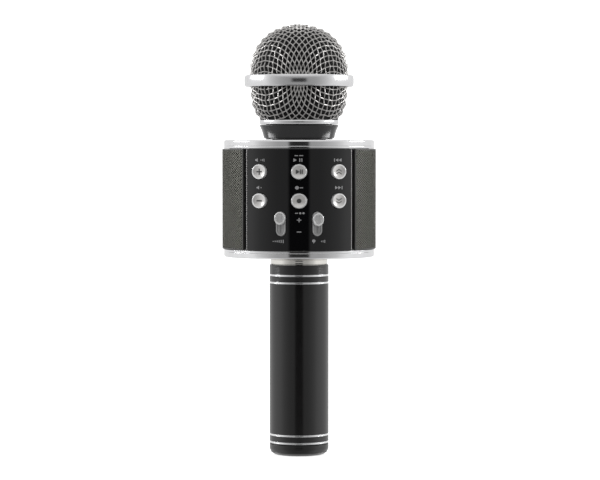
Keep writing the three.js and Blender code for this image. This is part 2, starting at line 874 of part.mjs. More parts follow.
function loudspeaker() {
  return atStation(
    Math.PI,
    DRIVER_Z,
    piece("driver_basket", driverBasket(), steel),
    piece("driver_magnet", driverMagnet(), ferrite),
    piece("driver_voice_coil", voiceCoil(), copper),
    piece("driver_spider", spider(), material(0xb98a3c, 0.8, 0)),
    piece("driver_cone", speakerCone(), paperCone),
    piece("driver_dust_cap", dustCap(), paperCone),
    piece("driver_surround", surround(), mattBlack),
    ...[0, 1, 2, 3].map(driverScrew),
  );
}

// ---------------------------------------------------------------------------------------------
// Neck and head
// ---------------------------------------------------------------------------------------------

// The black neck between drum and head: its outside spreads slightly on the way up.
function neck() {
  const [base, top] = NECK_Z;
  return turned([
    [NECK_BORE_R, NECK_SPIGOT.bottom],
    [NECK_SPIGOT.radius, NECK_SPIGOT.bottom],
    [NECK_SPIGOT.radius, base],
    [19.4, base],
    [20.0, base + 3],
    [20.8, base + 5.5],
    [21.85, top],
    [NECK_POCKET.radius, top],
    [NECK_POCKET.radius, NECK_POCKET.bottom],
    [NECK_BORE_R, NECK_POCKET.bottom],
  ]);
}

// The silver ring under the head, with the threaded skirt that screws into the neck.
function headRing() {
  const [bottom, top] = RING_Z;
  return turned([
    [THREAD_R[0], THREAD_BOTTOM],
    [THREAD_R[1], THREAD_BOTTOM],
    [THREAD_R[1], bottom],
    [RING_R - 0.6, bottom],
    [RING_R, bottom + 0.6],
    [RING_R, top - 0.6],
    [RING_R - 0.6, top],
    [THREAD_R[0], top],
  ]);
}

function capsuleMount() {
  const cup = CAPSULE.radius + GAP;
  const cupFloor = CAPSULE.z[0] - GAP;
  return turned(
    [
      [2, 170],
      [NECK_BORE_R - GAP, 170],
      [NECK_BORE_R - GAP, NECK_POCKET.bottom + GAP],
      [THREAD_R[0] - 0.5, NECK_POCKET.bottom + GAP],
      [THREAD_R[0] - 0.5, 178],
      [6, 179.5],
      [6, 197],
      [cup + 1.2, 199],
      [cup + 1.2, 206],
      [cup, 206],
      [cup, cupFloor],
      [2, cupFloor],
    ],
    INNER_SIDES,
  );
}

function micCapsule() {
  const [bottom, top] = CAPSULE.z;
  return turned(
    [
      [0, bottom],
      [CAPSULE.radius, bottom],
      [CAPSULE.radius, top - 0.6],
      [CAPSULE.radius - 0.6, top],
      [0, top],
    ],
    INNER_SIDES,
  );
}

// The lead from the capsule down its stalk and over to the top of the main board.
function micLead() {
  return wire(
    [
      [0, 0, CAPSULE.z[0] - GAP],
      [0, 0, 186],
      [0, 0, 173.5],
      [0, 0, 169.6],
      [0, -4, 164.8],
      [0, -12, 162.6],
      [0, -22, 162],
      [0, -BOARD[0] + GAP, 162],
    ],
    20,
  );
}

// The dome's outline at an offset inwards, from its widest point (0) to the pole (1).
function domeOutline(inset, steps) {
  return Array.from({ length: steps + 1 }, (_, i) => {
    const a = (Math.PI / 2) * (i / steps);
    const power = 2 / DOME_SQUARENESS;
    const r = i === steps ? 0 : (DOME_R - inset) * Math.cos(a) ** power;
    return [r, DOME_CENTRE + (DOME_HEIGHT - inset) * Math.sin(a) ** power];
  });
}

// The lower basket's outside, from its foot to the band.
const LOWER_OUTLINE = [
  [22.0, 185.7],
  [24.2, 189.0],
  [25.8, 192.6],
  [26.6, 197.0],
  [27.2, 203.0],
];

function headMeshUpper() {
  const bottom = 207;
  return turned([
    ...domeOutline(MESH_THICKNESS, 5).reverse(),
    [DOME_R - MESH_THICKNESS, bottom],
    [DOME_R, bottom],
    ...domeOutline(0, 6),
  ]);
}

function headMeshLower() {
  const top = 206.4;
  const inset = LOWER_OUTLINE.map(([r, z], i) => [r - MESH_THICKNESS * (i ? 1 : 0.9), z + (i ? 0.2 : 0)]);
  return turned([
    ...LOWER_OUTLINE,
    [DOME_R - 0.1, top],
    [DOME_R - 0.1 - MESH_THICKNESS, top],
    ...inset.reverse(),
  ]);
}

function headBand() {
  const [bottom, top] = BAND_Z;
  const bore = DOME_R + GAP;
  return turned([
    [bore, bottom],
    [28.6, bottom],
    [29.8, bottom + 1.3],
    [BAND_R, bottom + 3.0],
    [BAND_R - 0.2, bottom + 4.4],
    [29.3, bottom + 5.8],
    [28.6, top],
    [bore, top],
  ]);
}

// The foam lining of the whole head, open at the bottom.
function headFoam() {
  const inset = MESH_THICKNESS + 0.5;
  const side = (extra) => [
    [22.4 - extra, 189.4],
    [24.8 - extra, 197],
  ];
  return turned(
    [
      ...domeOutline(inset + FOAM_THICKNESS, 4).reverse(),
      ...side(FOAM_THICKNESS).reverse(),
      ...side(0),
      ...domeOutline(inset, 5),
    ],
    INNER_SIDES,
  );
}

// ---------------------------------------------------------------------------------------------
// The whole microphone
// ---------------------------------------------------------------------------------------------

const microphone = new THREE.Group();
microphone.name = "karaoke_microphone";

microphone.add(
  piece("end_cap", endCap(), satinBlack),
  piece("port_board", portBoard(), boardGreen),
  chargePort(),
  audioJack(),
  powerSwitch(),
  piece("handle_tube", handleTube(), satinBlack),
  piece("battery_cell", battery(), cellBlue),
  piece("handle_harness", handleHarness(), wireBlack),
  piece("handle_collar", handleCollar(), polishedSilver),
  piece("handle_lock_nut", handleLockNut(), steel),
);

microphone.add(
  piece("bottom_cover", bottomCover(), polishedSilver),
  piece("top_cover", topCover(), polishedSilver),
  piece("speaker_barrel", speakerBarrel(), mattBlack),
  piece("grille_wrap", grilleWrap(), grilleGrey),
  piece("control_panel", controlPanel(), glossBlack),
  ...COVER_SCREW_AZIMUTHS.map((_, i) => coverScrew(i)),
  ...buttons(),
  ...sliders(),
  piece("main_board", mainBoard(), boardGreen),
  keyBoard("left_key_board", COLUMN_AZIMUTHS[0]),
  keyBoard("right_key_board", COLUMN_AZIMUTHS[2]),
  loudspeaker(),
);

microphone.add(
  piece("neck", neck(), mattBlack),
  piece("capsule_mount", capsuleMount(), mattBlack),
  piece("mic_capsule", micCapsule(), steel),
  piece("mic_lead", micLead(), wireBlack),
  piece("head_ring", headRing(), polishedSilver),
  piece("head_mesh_lower", headMeshLower(), steelWire),
  piece("head_band", headBand(), polishedSilver),
  piece("head_mesh_upper", headMeshUpper(), steelWire),
  piece("head_foam", headFoam(), blackFoam),
);

export default microphone;
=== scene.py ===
import math

import bmesh
import bpy
import numpy as np
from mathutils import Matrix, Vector
from mathutils.geometry import delaunay_2d_cdt


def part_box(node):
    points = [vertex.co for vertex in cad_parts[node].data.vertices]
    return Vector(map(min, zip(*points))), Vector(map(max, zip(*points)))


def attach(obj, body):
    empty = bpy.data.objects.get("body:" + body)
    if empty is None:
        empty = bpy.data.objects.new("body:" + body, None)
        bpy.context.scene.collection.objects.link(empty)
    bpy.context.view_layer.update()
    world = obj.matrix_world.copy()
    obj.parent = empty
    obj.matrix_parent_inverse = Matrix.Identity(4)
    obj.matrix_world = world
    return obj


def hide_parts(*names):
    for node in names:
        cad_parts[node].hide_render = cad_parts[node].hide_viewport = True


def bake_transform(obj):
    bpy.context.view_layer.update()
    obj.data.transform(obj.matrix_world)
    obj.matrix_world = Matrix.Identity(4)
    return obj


# Karaoke microphone: the visual model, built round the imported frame.
# Shapes are worked out in millimetres and made in metres. +Z runs up the microphone, the panel faces -Y.
# Azimuths are in degrees from the front, positive towards +X. A profile is a list of (radius, height), and
# a third number is the radius that its corner is rounded to.

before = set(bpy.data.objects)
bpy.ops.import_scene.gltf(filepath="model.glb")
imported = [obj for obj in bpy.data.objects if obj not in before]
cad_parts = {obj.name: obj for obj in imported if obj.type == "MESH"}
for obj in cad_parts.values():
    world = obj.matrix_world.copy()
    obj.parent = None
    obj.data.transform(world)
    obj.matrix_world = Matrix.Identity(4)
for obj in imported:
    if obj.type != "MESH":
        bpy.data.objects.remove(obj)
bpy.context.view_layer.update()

MM = 0.001
BODY = "microphone_body"
HEAD = "head_ball"

DRUM_SIDES = 160  # sides of the drum's covers and the head's band
FINE_ROUND = 128  # sides of the handle, the neck and the foam
FULL_ROUND = 96  # sides of the middling round pieces
SMALL_ROUND = 40  # sides of the small ones
SOFT_ANGLE = math.radians(32)  # edges flatter than this are shaded smooth
WELD = 0.002  # points closer than this are joined
FILL_MARGIN = 0.35  # how far the points spread over a flat region stay from its edges


# ---- Sizes read from the frame ----


def span(node):
    """Lowest and highest corner of a CAD node, in millimetres."""
    low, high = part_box(node)
    return np.array(low) / MM, np.array(high) / MM


def heights(node):
    low, high = span(node)
    return low[2], high[2]


def reach(node):
    """Largest distance of a round node from the axis, along X."""
    return span(node)[1][0]


# ---- Outlines: closed loops of (x, y), anticlockwise ----


def ring(radius, sides, centre=(0, 0), height=None):
    """A circle of points, or an oval if height gives its second radius."""
    a = np.arange(sides) * (2 * math.pi / sides)
    tall = radius if height is None else height
    return np.stack([centre[0] + radius * np.cos(a), centre[1] + tall * np.sin(a)], 1)


def rounded(corners, radius, steps=4):
    """A closed outline with its corners rounded. A corner's own radius may come as its third number."""
    points = []
    count = len(corners)
    for i, corner in enumerate(corners):
        here, before, after = (np.array(corners[k % count][:2], float) for k in (i, i - 1, i + 1))
        own = corner[2] if len(corner) > 2 else radius
        to_before, to_after = before - here, after - here
        lengths = np.linalg.norm(to_before), np.linalg.norm(to_after)
        if own == 0 or min(lengths) < 1e-6:
            points.append(here)
            continue
        to_before, to_after = to_before / lengths[0], to_after / lengths[1]
        half = math.acos(np.clip(to_before @ to_after, -1, 1)) / 2
        if half > math.radians(86):
            points.append(here)
            continue
        back = min(own / math.tan(half), 0.48 * min(lengths))
        bisector = (to_before + to_after) / np.linalg.norm(to_before + to_after)
        centre = here + bisector * back / math.cos(half)
        first, last = here + to_before * back - centre, here + to_after * back - centre
        turn = math.pi - 2 * half
        for k in range(steps + 1):
            t = k / steps
            mix = math.sin((1 - t) * turn) * first + math.sin(t * turn) * last
            points.append(centre + mix / math.sin(turn))
    return np.array(points)


def rectangle(width, height, radius, centre=(0, 0), steps=4):
    x, y = width / 2, height / 2
    corners = [(-x, -y), (x, -y), (x, y), (-x, y)]
    return rounded(corners, radius, steps) + np.array(centre)


def stadium(width, height, centre=(0, 0), steps=10):
    """A slot outline with round ends, taller than it is wide."""
    r, straight = width / 2, height / 2 - width / 2
    a = np.linspace(0, math.pi, steps + 1)
    top = np.stack([r * np.cos(a), straight + r * np.sin(a)], 1)
    return np.concatenate([top, -top]) + np.array(centre)


def unit(vectors):
    """Rows scaled to length 1."""
    return vectors / np.linalg.norm(vectors, axis=1)[:, None]


def divided(loop, longest):
    """A loop with its long straight sides split up, so that it can be bent round the drum."""
    points = []
    for here, after in zip(loop, np.roll(loop, -1, 0)):
        count = max(1, math.ceil(np.linalg.norm(after - here) / longest))
        points += [here + (after - here) * k / count for k in range(count)]
    return np.array(points)


def at_level(loop, level):
    """The points of a flat outline at a height."""
    return np.column_stack([loop, np.full(len(loop), level)])


def sides_of(loop):
    """Outward mitre directions of an anticlockwise loop."""
    back, on = loop - np.roll(loop, 1, 0), np.roll(loop, -1, 0) - loop
    back, on = unit(back), unit(on)
    n1, n2 = np.stack([back[:, 1], -back[:, 0]], 1), np.stack([on[:, 1], -on[:, 0]], 1)
    return (n1 + n2) / (1 + (n1 * n2).sum(1))[:, None]


def offset(loop, distance):
    """An anticlockwise loop moved outwards by a distance, or inwards if it is negative."""
    return loop + distance * sides_of(loop)


def within(points, loop):
    """Which points lie inside a loop."""
    x, y = points[:, :1], points[:, 1:]
    (x0, y0), (x1, y1) = loop.T, np.roll(loop, -1, 0).T
    crosses = (y0 > y) != (y1 > y)
    with np.errstate(divide="ignore", invalid="ignore"):
        left = x < (x1 - x0) * (y - y0) / (y1 - y0) + x0
    return (crosses & left).sum(1) % 2 == 1


def grid(loop, pitch):
    """Points of a square grid over a loop's box."""
    low, high = loop.min(0) + pitch / 2, loop.max(0)
    x, y = np.meshgrid(np.arange(low[0], high[0], pitch), np.arange(low[1], high[1], pitch))
    return np.stack([x.ravel(), y.ravel()], 1)


# ---- Solids ----


class Shape:
    """The points and faces of one piece, in millimetres. A face's mark is the number of its material."""

    def __init__(self):
        self.points, self.faces, self.marks = [], [], []

    def put(self, points, faces, mark=0, place=None):
        points = np.asarray(points, float)
        if place is not None:
            points = place(points)
        start = len(self.points)
        self.points.extend(points.tolist())
        self.faces.extend([tuple(start + i for i in f) for f in faces])
        self.marks.extend(mark if isinstance(mark, list) else [mark] * len(faces))
        return self

    def plate(self, *args, mark=0, place=None, **settings):
        points, faces, _ = plate(*args, **settings)
        return self.put(points, faces, mark, place)

    def slab(self, *args, mark=0, place=None):
        return self.put(*slab(*args), mark, place)

    def make(self, name, materials, slot=None, body=BODY, weld=True, normals=None):
        """The piece as an object that rides on a body. With a slot, it replaces the CAD node of its name."""
        mesh = bpy.data.meshes.new(name)
        mesh.from_pydata([[c * MM for c in p] for p in self.points], [], self.faces)
        for material in materials:
            mesh.materials.append(material)
        mesh.polygons.foreach_set("material_index", self.marks)
        work = bmesh.new()
        work.from_mesh(mesh)
        if weld:
            bmesh.ops.remove_doubles(work, verts=work.verts, dist=WELD * MM)
        bmesh.ops.recalc_face_normals(work, faces=work.faces)
        work.to_mesh(mesh)
        work.free()
        mesh.shade_smooth()
        piece = bpy.data.objects.new(name, mesh)
        bpy.context.scene.collection.objects.link(piece)
        if normals is None:
            mesh.set_sharp_from_angle(angle=SOFT_ANGLE)
            piece.modifiers.new("flat faces stay flat", "WEIGHTED_NORMAL").keep_sharp = True
        else:
            mesh.normals_split_custom_set_from_vertices(normals)
        if body:
            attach(piece, body)
        nodes = [name] if slot else []
        if nodes:
            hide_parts(*nodes)
        return piece


def strip(rings, closed=True):
    """Quads between neighbouring rings of equally many points; the last ring may join the first."""
    count, size = len(rings), len(rings[0])
    faces = []
    for i in range(count if closed else count - 1):
        a, b = i * size, ((i + 1) % count) * size
        faces += [(a + k, a + (k + 1) % size, b + (k + 1) % size, b + k) for k in range(size)]
    return np.concatenate(rings), faces


def lathe(profile, sides=FULL_ROUND, squash=1.0, closed=True):
    """A profile of (radius, height) turned about +Z. It closes on itself unless both ends are on the axis."""
    profile = np.asarray(profile, float)
    on_axis = profile[0, 0] == 0 and profile[-1, 0] == 0
    body = profile[1:-1] if on_axis else profile
    a = np.arange(sides) * (2 * math.pi / sides)
    circle = np.stack([np.cos(a), squash * np.sin(a)], 1)
    rings = [at_level(circle * r, z) for r, z in body]
    points, faces = strip(rings, closed=closed and not on_axis)
    if on_axis:
        first, last = len(points), len(points) + 1
        points = np.concatenate([points, [[0, 0, profile[0, 1]], [0, 0, profile[-1, 1]]]])
        top = (len(rings) - 1) * sides
        faces += [(first, (k + 1) % sides, k) for k in range(sides)]
        faces += [(last, top + k, top + (k + 1) % sides) for k in range(sides)]
    return points, faces


def area(outer, holes=(), fill=None):
    """Triangles of the flat region inside outer and outside the holes, over the loops' own points.
    fill are more points to use inside it. Returns all points and the triangles."""
    loops = [outer, *holes]
    points = np.concatenate(loops)
    edges, start = [], 0
    for loop in loops:
        edges += [(start + k, start + (k + 1) % len(loop)) for k in range(len(loop))]
        start += len(loop)
    if fill is not None:
        keep = within(fill, offset(outer, -FILL_MARGIN))
        for hole in holes:
            keep &= ~within(fill, offset(hole, FILL_MARGIN))
        points = np.concatenate([points, fill[keep]])
    found = delaunay_2d_cdt([Vector(p) for p in points], edges, [], 0, 1e-7)
    place, triangles, source = np.array([tuple(v) for v in found[0]]), found[2], found[3]
    middles = np.array([place[list(t)].mean(0) for t in triangles])
    keep = within(middles, outer)
    for hole in holes:
        keep &= ~within(middles, hole)
    return points, [tuple(source[i][0] for i in t) for t, k in zip(triangles, keep) if k]


def edge_rings(loop, bottom, top, bevel, outwards, steps=3):
    """Rings of points down a wall with rounded edges, and their normals.
    outwards is 1 on a plate's rim and -1 in a hole."""
    rings, normals = [], []
    side = sides_of(loop)
    straight = unit(side)
    turns = [(t, 1, top) for t in np.linspace(0, math.pi / 2, steps + 1)]
    turns += [(t, -1, bottom) for t in np.linspace(math.pi / 2, 0, steps + 1)]
    for t, up, level in turns:
        moved = loop - outwards * bevel * (1 - math.sin(t)) * side
        rings.append(at_level(moved, level - up * bevel * (1 - math.cos(t))))
        normals.append(at_level(outwards * math.sin(t) * straight, up * math.cos(t)))
    return rings, normals


def plate(outer, holes=(), bottom=0, top=1, bevel=0.15, pitch=None, steps=3, hole_bevel=None, more=None):
    """A flat plate with holes right through it and rounded edges: points, faces and exact normals.
    pitch spreads a grid of points over it, and more are further points to use."""
    inner = bevel if hole_bevel is None else hole_bevel
    loops = [(np.asarray(outer), 1, bevel)] + [(np.asarray(h), -1, inner) for h in holes]
    points, normals, faces, caps = [], [], [], {True: [], False: []}
    start = 0
    for loop, outwards, own in loops:
        rings, ring_normals = edge_rings(loop, bottom, top, own, outwards, steps)
        made, quads = strip(rings, closed=False)
        points.append(made)
        normals.append(np.concatenate(ring_normals))
        faces += [tuple(start + i for i in q) for q in quads]
        caps[True] += range(start, start + len(loop))
        start += len(made)
        caps[False] += range(start - len(loop), start)
    flat = [offset(loop, -outwards * own) for loop, outwards, own in loops]
    fill = None if pitch is None else grid(flat[0], pitch)
    if more is not None:
        fill = np.concatenate([fill, more])
    spread, triangles = area(flat[0], flat[1:], fill)
    extra = spread[len(caps[True]):]
    for is_top, level in ((True, top), (False, bottom)):
        index = caps[is_top] + list(range(start, start + len(extra)))
        start += len(extra)
        points.append(at_level(extra, level))
        normals.append(np.tile([0, 0, 1.0 if is_top else -1.0], (len(extra), 1)))
        faces += [tuple(index[i] for i in t) for t in triangles]
    return np.concatenate(points), faces, np.concatenate(normals)


def slab(width, depth, height, centre, bevel=0.12):
    """A rounded box with its middle at centre."""
    x, y, z = centre
    fillet = min(0.25, width / 3, depth / 3)
    bevel = min(bevel, 0.8 * fillet, height / 3)
    outline = rectangle(width, depth, fillet, (x, y), 3)
    points, faces, _ = plate(outline, (), z - height / 2, z + height / 2, bevel, steps=2)
    return points, faces


def tubes(paths, ups, radius, sides=6):
    """Round wires with closed ends along lists of points. ups are directions across each wire there."""
    points, faces = [], []
    start = 0
    a = np.arange(sides) * (2 * math.pi / sides)
    for path, up in zip(paths, ups):
        along = unit(np.gradient(path, axis=0))
        across = unit(np.cross(along, up))
        over = np.cross(across, along)
        rings = path[:, None] + radius * (
            np.cos(a)[None, :, None] * across[:, None] + np.sin(a)[None, :, None] * over[:, None]
        )
        made, quads = strip(list(rings), closed=False)
        points.append(made)
        faces += [tuple(start + i for i in q) for q in quads]
        last = start + len(made) - sides
        faces += [tuple(range(start + sides - 1, start - 1, -1)), tuple(range(last, last + sides))]
        start += len(made)
    return np.concatenate(points), faces


# ---- Places ----


def station(azimuth, height=0.0):
    """Places points given as right, up and outwards at an azimuth of the drum."""
    a = math.radians(azimuth)
    right, out = np.array([math.cos(a), math.sin(a), 0]), np.array([math.sin(a), -math.cos(a), 0])

    def place(points):
        x, y, z = points.T
        return x[:, None] * right + z[:, None] * out + (y + height)[:, None] * np.array([0, 0, 1])

    return place


def shifted(x, y):
    return lambda points: points + np.array([x, y, 0])


def wrapped(points, radius):
    """Bends a plate round the drum: x is the arc length at radius, y the height, z the way from the axis."""
    a = points[:, 0] / radius
    return np.column_stack([points[:, 2] * np.sin(a), -points[:, 2] * np.cos(a), points[:, 1]])


def wrapped_normals(normals, points, radius):
    a = points[:, 0] / radius
    sideways, up, out = normals.T
    turned = np.column_stack([
        sideways * np.cos(a) + out * np.sin(a),
        sideways * np.sin(a) - out * np.cos(a),
        up,
    ])
    return unit(turned)


# ---- Materials ----


class Finish:
    """A material on one Principled shader, with small calls for its procedural patterns."""

    def __init__(self, name, color, roughness, metallic=0.0, **constants):
        self.material = bpy.data.materials.new(name)
        self.material.use_nodes = True
        self.tree = self.material.node_tree
        self.shader = self.tree.nodes["Principled BSDF"]
        self.set("Base Color", (*color, 1))
        self.set("Roughness", roughness)
        self.set("Metallic", metallic)
        for key, value in constants.items():
            self.set(key.replace("_", " "), value)
        self.color = color
        coordinates = self.tree.nodes.new("ShaderNodeTexCoord")
        self.place = coordinates.outputs["Object"]
        self.height = None

    def set(self, socket, value):
        self.shader.inputs[socket].default_value = value

    def node(self, kind, output=0, settings=None, **inputs):
        made = self.tree.nodes.new("ShaderNode" + kind)
        for key, value in (settings or {}).items():
            setattr(made, key, value)
        for key, value in inputs.items():
            socket = made.inputs[int(key[1:])] if key[0] == "i" and key[1:].isdigit() else made.inputs[key]
            if isinstance(value, bpy.types.NodeSocket):
                self.tree.links.new(value, socket)
            else:
                socket.default_value = value
        return made.outputs[output]

    def math(self, operation, a, b=0.0):
        return self.node("Math", settings={"operation": operation}, i0=a, i1=b)

    def spread(self, stretch):
        """The place with its axes scaled, so that a pattern is drawn out along one of them."""
        return self.node("VectorMath", settings={"operation": "MULTIPLY"}, i0=self.place, i1=stretch)

    def noise(self, grain, detail=3.0, place=None):
        """Noise with features about grain millimetres across."""
        return self.node("TexNoise", Vector=place or self.place, Scale=1 / (grain * MM), Detail=detail)

    def cells(self, grain, feature="F1"):
        made = {"feature": feature}
        return self.node("TexVoronoi", settings=made, Vector=self.place, Scale=1 / (grain * MM))

    def between(self, factor, low, high):
        return self.node("MapRange", i0=factor, i3=low, i4=high)

    def vary_color(self, factor, other):
        """Mixes the colour towards another one as the factor rises."""
        mixed = self.node("Mix", 2, {"data_type": "RGBA"}, i0=factor, i6=(*self.color, 1), i7=(*other, 1))
        self.tree.links.new(mixed, self.shader.inputs["Base Color"])
        return self

    def vary_roughness(self, factor, low, high):
        self.tree.links.new(self.between(factor, low, high), self.shader.inputs["Roughness"])
        return self

    def bump(self, factor, depth):
        """Adds relief of about depth millimetres."""
        inputs = {"Height": factor, "Distance": depth * MM, "Strength": 1.0}
        if self.height is not None:
            inputs["Normal"] = self.height
        self.height = self.node("Bump", **inputs)
        self.tree.links.new(self.height, self.shader.inputs["Normal"])
        return self


def sprayed(name, color, roughness, grain=0.35, depth=0.004, **constants):
    """Sprayed paint or moulded plastic: a faint orange peel and uneven gloss."""
    f = Finish(name, color, roughness, **constants)
    lighter = tuple(min(1, c * 1.5 + 0.002) for c in color)
    f.vary_color(f.noise(9.0), lighter)
    f.vary_roughness(f.noise(2.5, 5.0), roughness * 0.85, roughness * 1.2)
    return f.bump(f.noise(grain), depth)


def plated(name, color, roughness, lines=0.0, depth=0.0015, **constants):
    """Bright metal. lines draws fine turning marks round the axis, that many millimetres apart."""
    f = Finish(name, color, roughness, 1.0, **constants)
    duller = tuple(c * 0.86 for c in color)
    f.vary_color(f.noise(6.0, 4.0), duller)
    f.vary_roughness(f.noise(1.6, 5.0), roughness * 0.75, roughness * 1.35)
    if lines:
        drawn = f.spread((0.02, 0.02, 1.0))
        return f.bump(f.noise(lines, 2.0, drawn), depth)
    return f.bump(f.noise(0.5), depth)


def panel_gloss():
    f = Finish("gloss black panel", (0.0035, 0.0035, 0.0042), 0.045, IOR=1.5)
    scuffs = f.noise(0.9, 6.0, f.spread((1.0, 1.0, 0.25)))
    f.vary_roughness(scuffs, 0.03, 0.085)
    return f.bump(f.noise(14.0, 1.0), 0.004).material


def grille_metal():
    f = plated("grille metal", (0.42, 0.427, 0.38), 0.4)
    f.vary_color(f.noise(1.4, 4.0), (0.24, 0.23, 0.21))
    return f.material


def steel_wire():
    f = Finish("bright steel wire", (0.58, 0.57, 0.56), 0.28, 1.0)
    f.vary_color(f.noise(3.0, 3.0), (0.36, 0.35, 0.34))
    f.vary_roughness(f.noise(0.6, 3.0), 0.24, 0.4)
    return f.bump(f.noise(0.12, 2.0), 0.004).material


def foam_black():
    f = Finish("black open foam", (0.006, 0.006, 0.006), 0.95)
    pores = f.cells(0.7)
    f.vary_color(pores, (0.018, 0.018, 0.019))
    return f.bump(pores, 0.35).material


def board_green():
    f = Finish("solder mask", (0.01, 0.075, 0.035), 0.3, IOR=1.5)
    tracks = f.cells(1.7, "DISTANCE_TO_EDGE")
    track = f.node("MapRange", i0=tracks, i1=0.06, i2=0.1, i3=1.0, i4=0.0)
    f.vary_color(track, (0.02, 0.15, 0.06))
    return f.bump(track, 0.03).material


def cone_paper():
    f = Finish("pressed cone paper", (0.02, 0.019, 0.018), 0.85)
    fibre = f.noise(0.5, 6.0)
    f.vary_color(fibre, (0.05, 0.047, 0.043))
    return f.bump(fibre, 0.06).material


def spider_cloth():
    f = Finish("treated spider cloth", (0.42, 0.24, 0.06), 0.8)
    weave = f.node("TexChecker", 1, Vector=f.place, Scale=1 / (0.45 * MM))
    f.vary_color(weave, (0.3, 0.16, 0.035))
    return f.bump(weave, 0.08).material


def cast_ferrite():
    f = Finish("pressed ferrite", (0.035, 0.035, 0.037), 0.6)
    f.vary_color(f.noise(0.8, 6.0), (0.07, 0.07, 0.072))
    return f.bump(f.noise(0.4, 5.0), 0.03).material


def coil_copper():
    f = Finish("wound copper", (0.72, 0.33, 0.16), 0.3, 1.0)
    turns = f.node("TexWave", 1, {"bands_direction": "Y"}, Vector=f.place, Scale=1 / (1.6 * MM))
    f.vary_color(turns, (0.4, 0.17, 0.08))
    return f.bump(turns, 0.08).material


LACQUER = sprayed("satin black lacquer", (0.003, 0.0027, 0.0028), 0.19, 0.25, 0.003, IOR=1.6).material
BRIGHT_CUT = plated("bright cut aluminium", (0.93, 0.93, 0.94), 0.14, 0.12).material
GLOSS = panel_gloss()
# A bright metal strip on the panel's side edges: a painted highlight of those edges.
PANEL_EDGE_HIGHLIGHT = plated("painted panel edge highlight", (0.85, 0.83, 0.83), 0.25).material
SILVER = plated("polished silver plating", (0.86, 0.86, 0.87), 0.1, 0.35).material
COLLAR_SILVER = plated("warm silver plating", (0.88, 0.86, 0.81), 0.11, 0.2).material
CHROME = plated("satin chrome", (0.8, 0.8, 0.81), 0.17, 0.3).material
GRILLE = grille_metal()
# The grille's hem, painted near black as the shade of the gaps round the grille.
GRILLE_HEM_SHADE = sprayed("grille hem painted as gap shade", (0.03, 0.03, 0.028), 0.45, 0.3, 0.006).material
BACKING = sprayed("black backing cloth", (0.006, 0.006, 0.006), 0.9, 0.2, 0.05).material
WIRE = steel_wire()
FOAM = foam_black()
KEY_RIM = sprayed("bright key rim", (0.95, 0.95, 0.95), 0.18, 0.5, 0.002, Metallic=0.45).material
KEY_DISH = sprayed("satin key dish", (0.58, 0.57, 0.56), 0.25, 0.5, 0.003, Metallic=0.6).material
KEY_MARK = sprayed("engraved key mark", (0.05, 0.05, 0.05), 0.5).material
KNOB = sprayed("satin slider silver", (0.6, 0.6, 0.6), 0.3, 0.4, 0.003, Metallic=0.5).material
KNOB_RIM = sprayed("bright slider rim", (0.8, 0.8, 0.8), 0.22, 0.4, 0.002, Metallic=0.6).material
TRACK = plated("satin track frame", (0.6, 0.6, 0.6), 0.3).material
TRACK_FLOOR = sprayed("silver moulded track", (0.36, 0.36, 0.36), 0.35, 0.3, 0.004, Metallic=0.4).material
PRINT = sprayed("pale grey print", (0.3, 0.3, 0.305), 0.5, 0.1, 0.002).material
PLASTIC = sprayed("black moulded plastic", (0.012, 0.012, 0.013), 0.45, 0.3, 0.008).material
NECK = sprayed("smoked black gloss", (0.003, 0.003, 0.0035), 0.15, 0.4, 0.002, IOR=1.52).material
RUBBER = sprayed("black rubber", (0.014, 0.014, 0.014), 0.7, 0.3, 0.01).material
STEEL = plated("zinc plated steel", (0.62, 0.63, 0.64), 0.28).material
BOARD = board_green()
SOLDER = plated("solder and contacts", (0.8, 0.74, 0.55), 0.25).material
FERRITE = cast_ferrite()
PAPER = cone_paper()
CLOTH = spider_cloth()
COPPER = coil_copper()
CELL = sprayed("shrink wrap", (0.02, 0.09, 0.2), 0.3, 3.0, 0.02).material
JACKET = sprayed("wire jacket", (0.012, 0.012, 0.013), 0.42, 0.4, 0.006).material


# ---- Handle ----

CAP_FLOOR = (2.0, 5.0)
CAP_RECESS = 11.5
HANDLE_WALL = 1.2
SPIGOT = 14.9
LINE_HEIGHTS = (7.1, 11.25, 95.4, 99.5)
LINE = {"width": 1.0, "depth": 0.3}
COLLAR_SHOULDER = 105.55
CHARGE_PORT = {"x": 0.0, "y": -5.4, "width": 8.9, "height": 3.2}
AUDIO_JACK = {"x": -5.6, "y": 3.4, "ferrule": 3.0, "bore": 1.75}
POWER_SWITCH = {"x": 5.0, "y": 3.8, "slot": (5.7, 3.0)}
PORT_TIP = 2.6
PORT_TOP = 11.7
CLEARANCE = 0.3


def ripples(radius, start, end, pitch=0.85, depth=0.06):
    """Profile points of fine turned rings between two heights."""
    count = max(1, round((end - start) / pitch))
    z = np.linspace(start, end, 6 * count + 1)
    wave = 0.5 - 0.5 * np.cos(2 * math.pi * count * (z - start) / (end - start))
    return [(radius - depth * w, level, 0) for w, level in zip(wave, z)]


def marked_lathe(profile, bright, sides=FINE_ROUND):
    """A turned shape whose outside is in the second material between the given heights."""
    points, faces = lathe(profile, sides)
    middles = (profile + np.roll(profile, -1, 0)) / 2
    outside = middles[:, 0] > profile[:, 0].max() - 1
    marks = [int(out and any(a < z < b for a, b in bright)) for out, z in zip(outside, middles[:, 1])]
    return points, faces, [m for m in marks for _ in range(sides)]


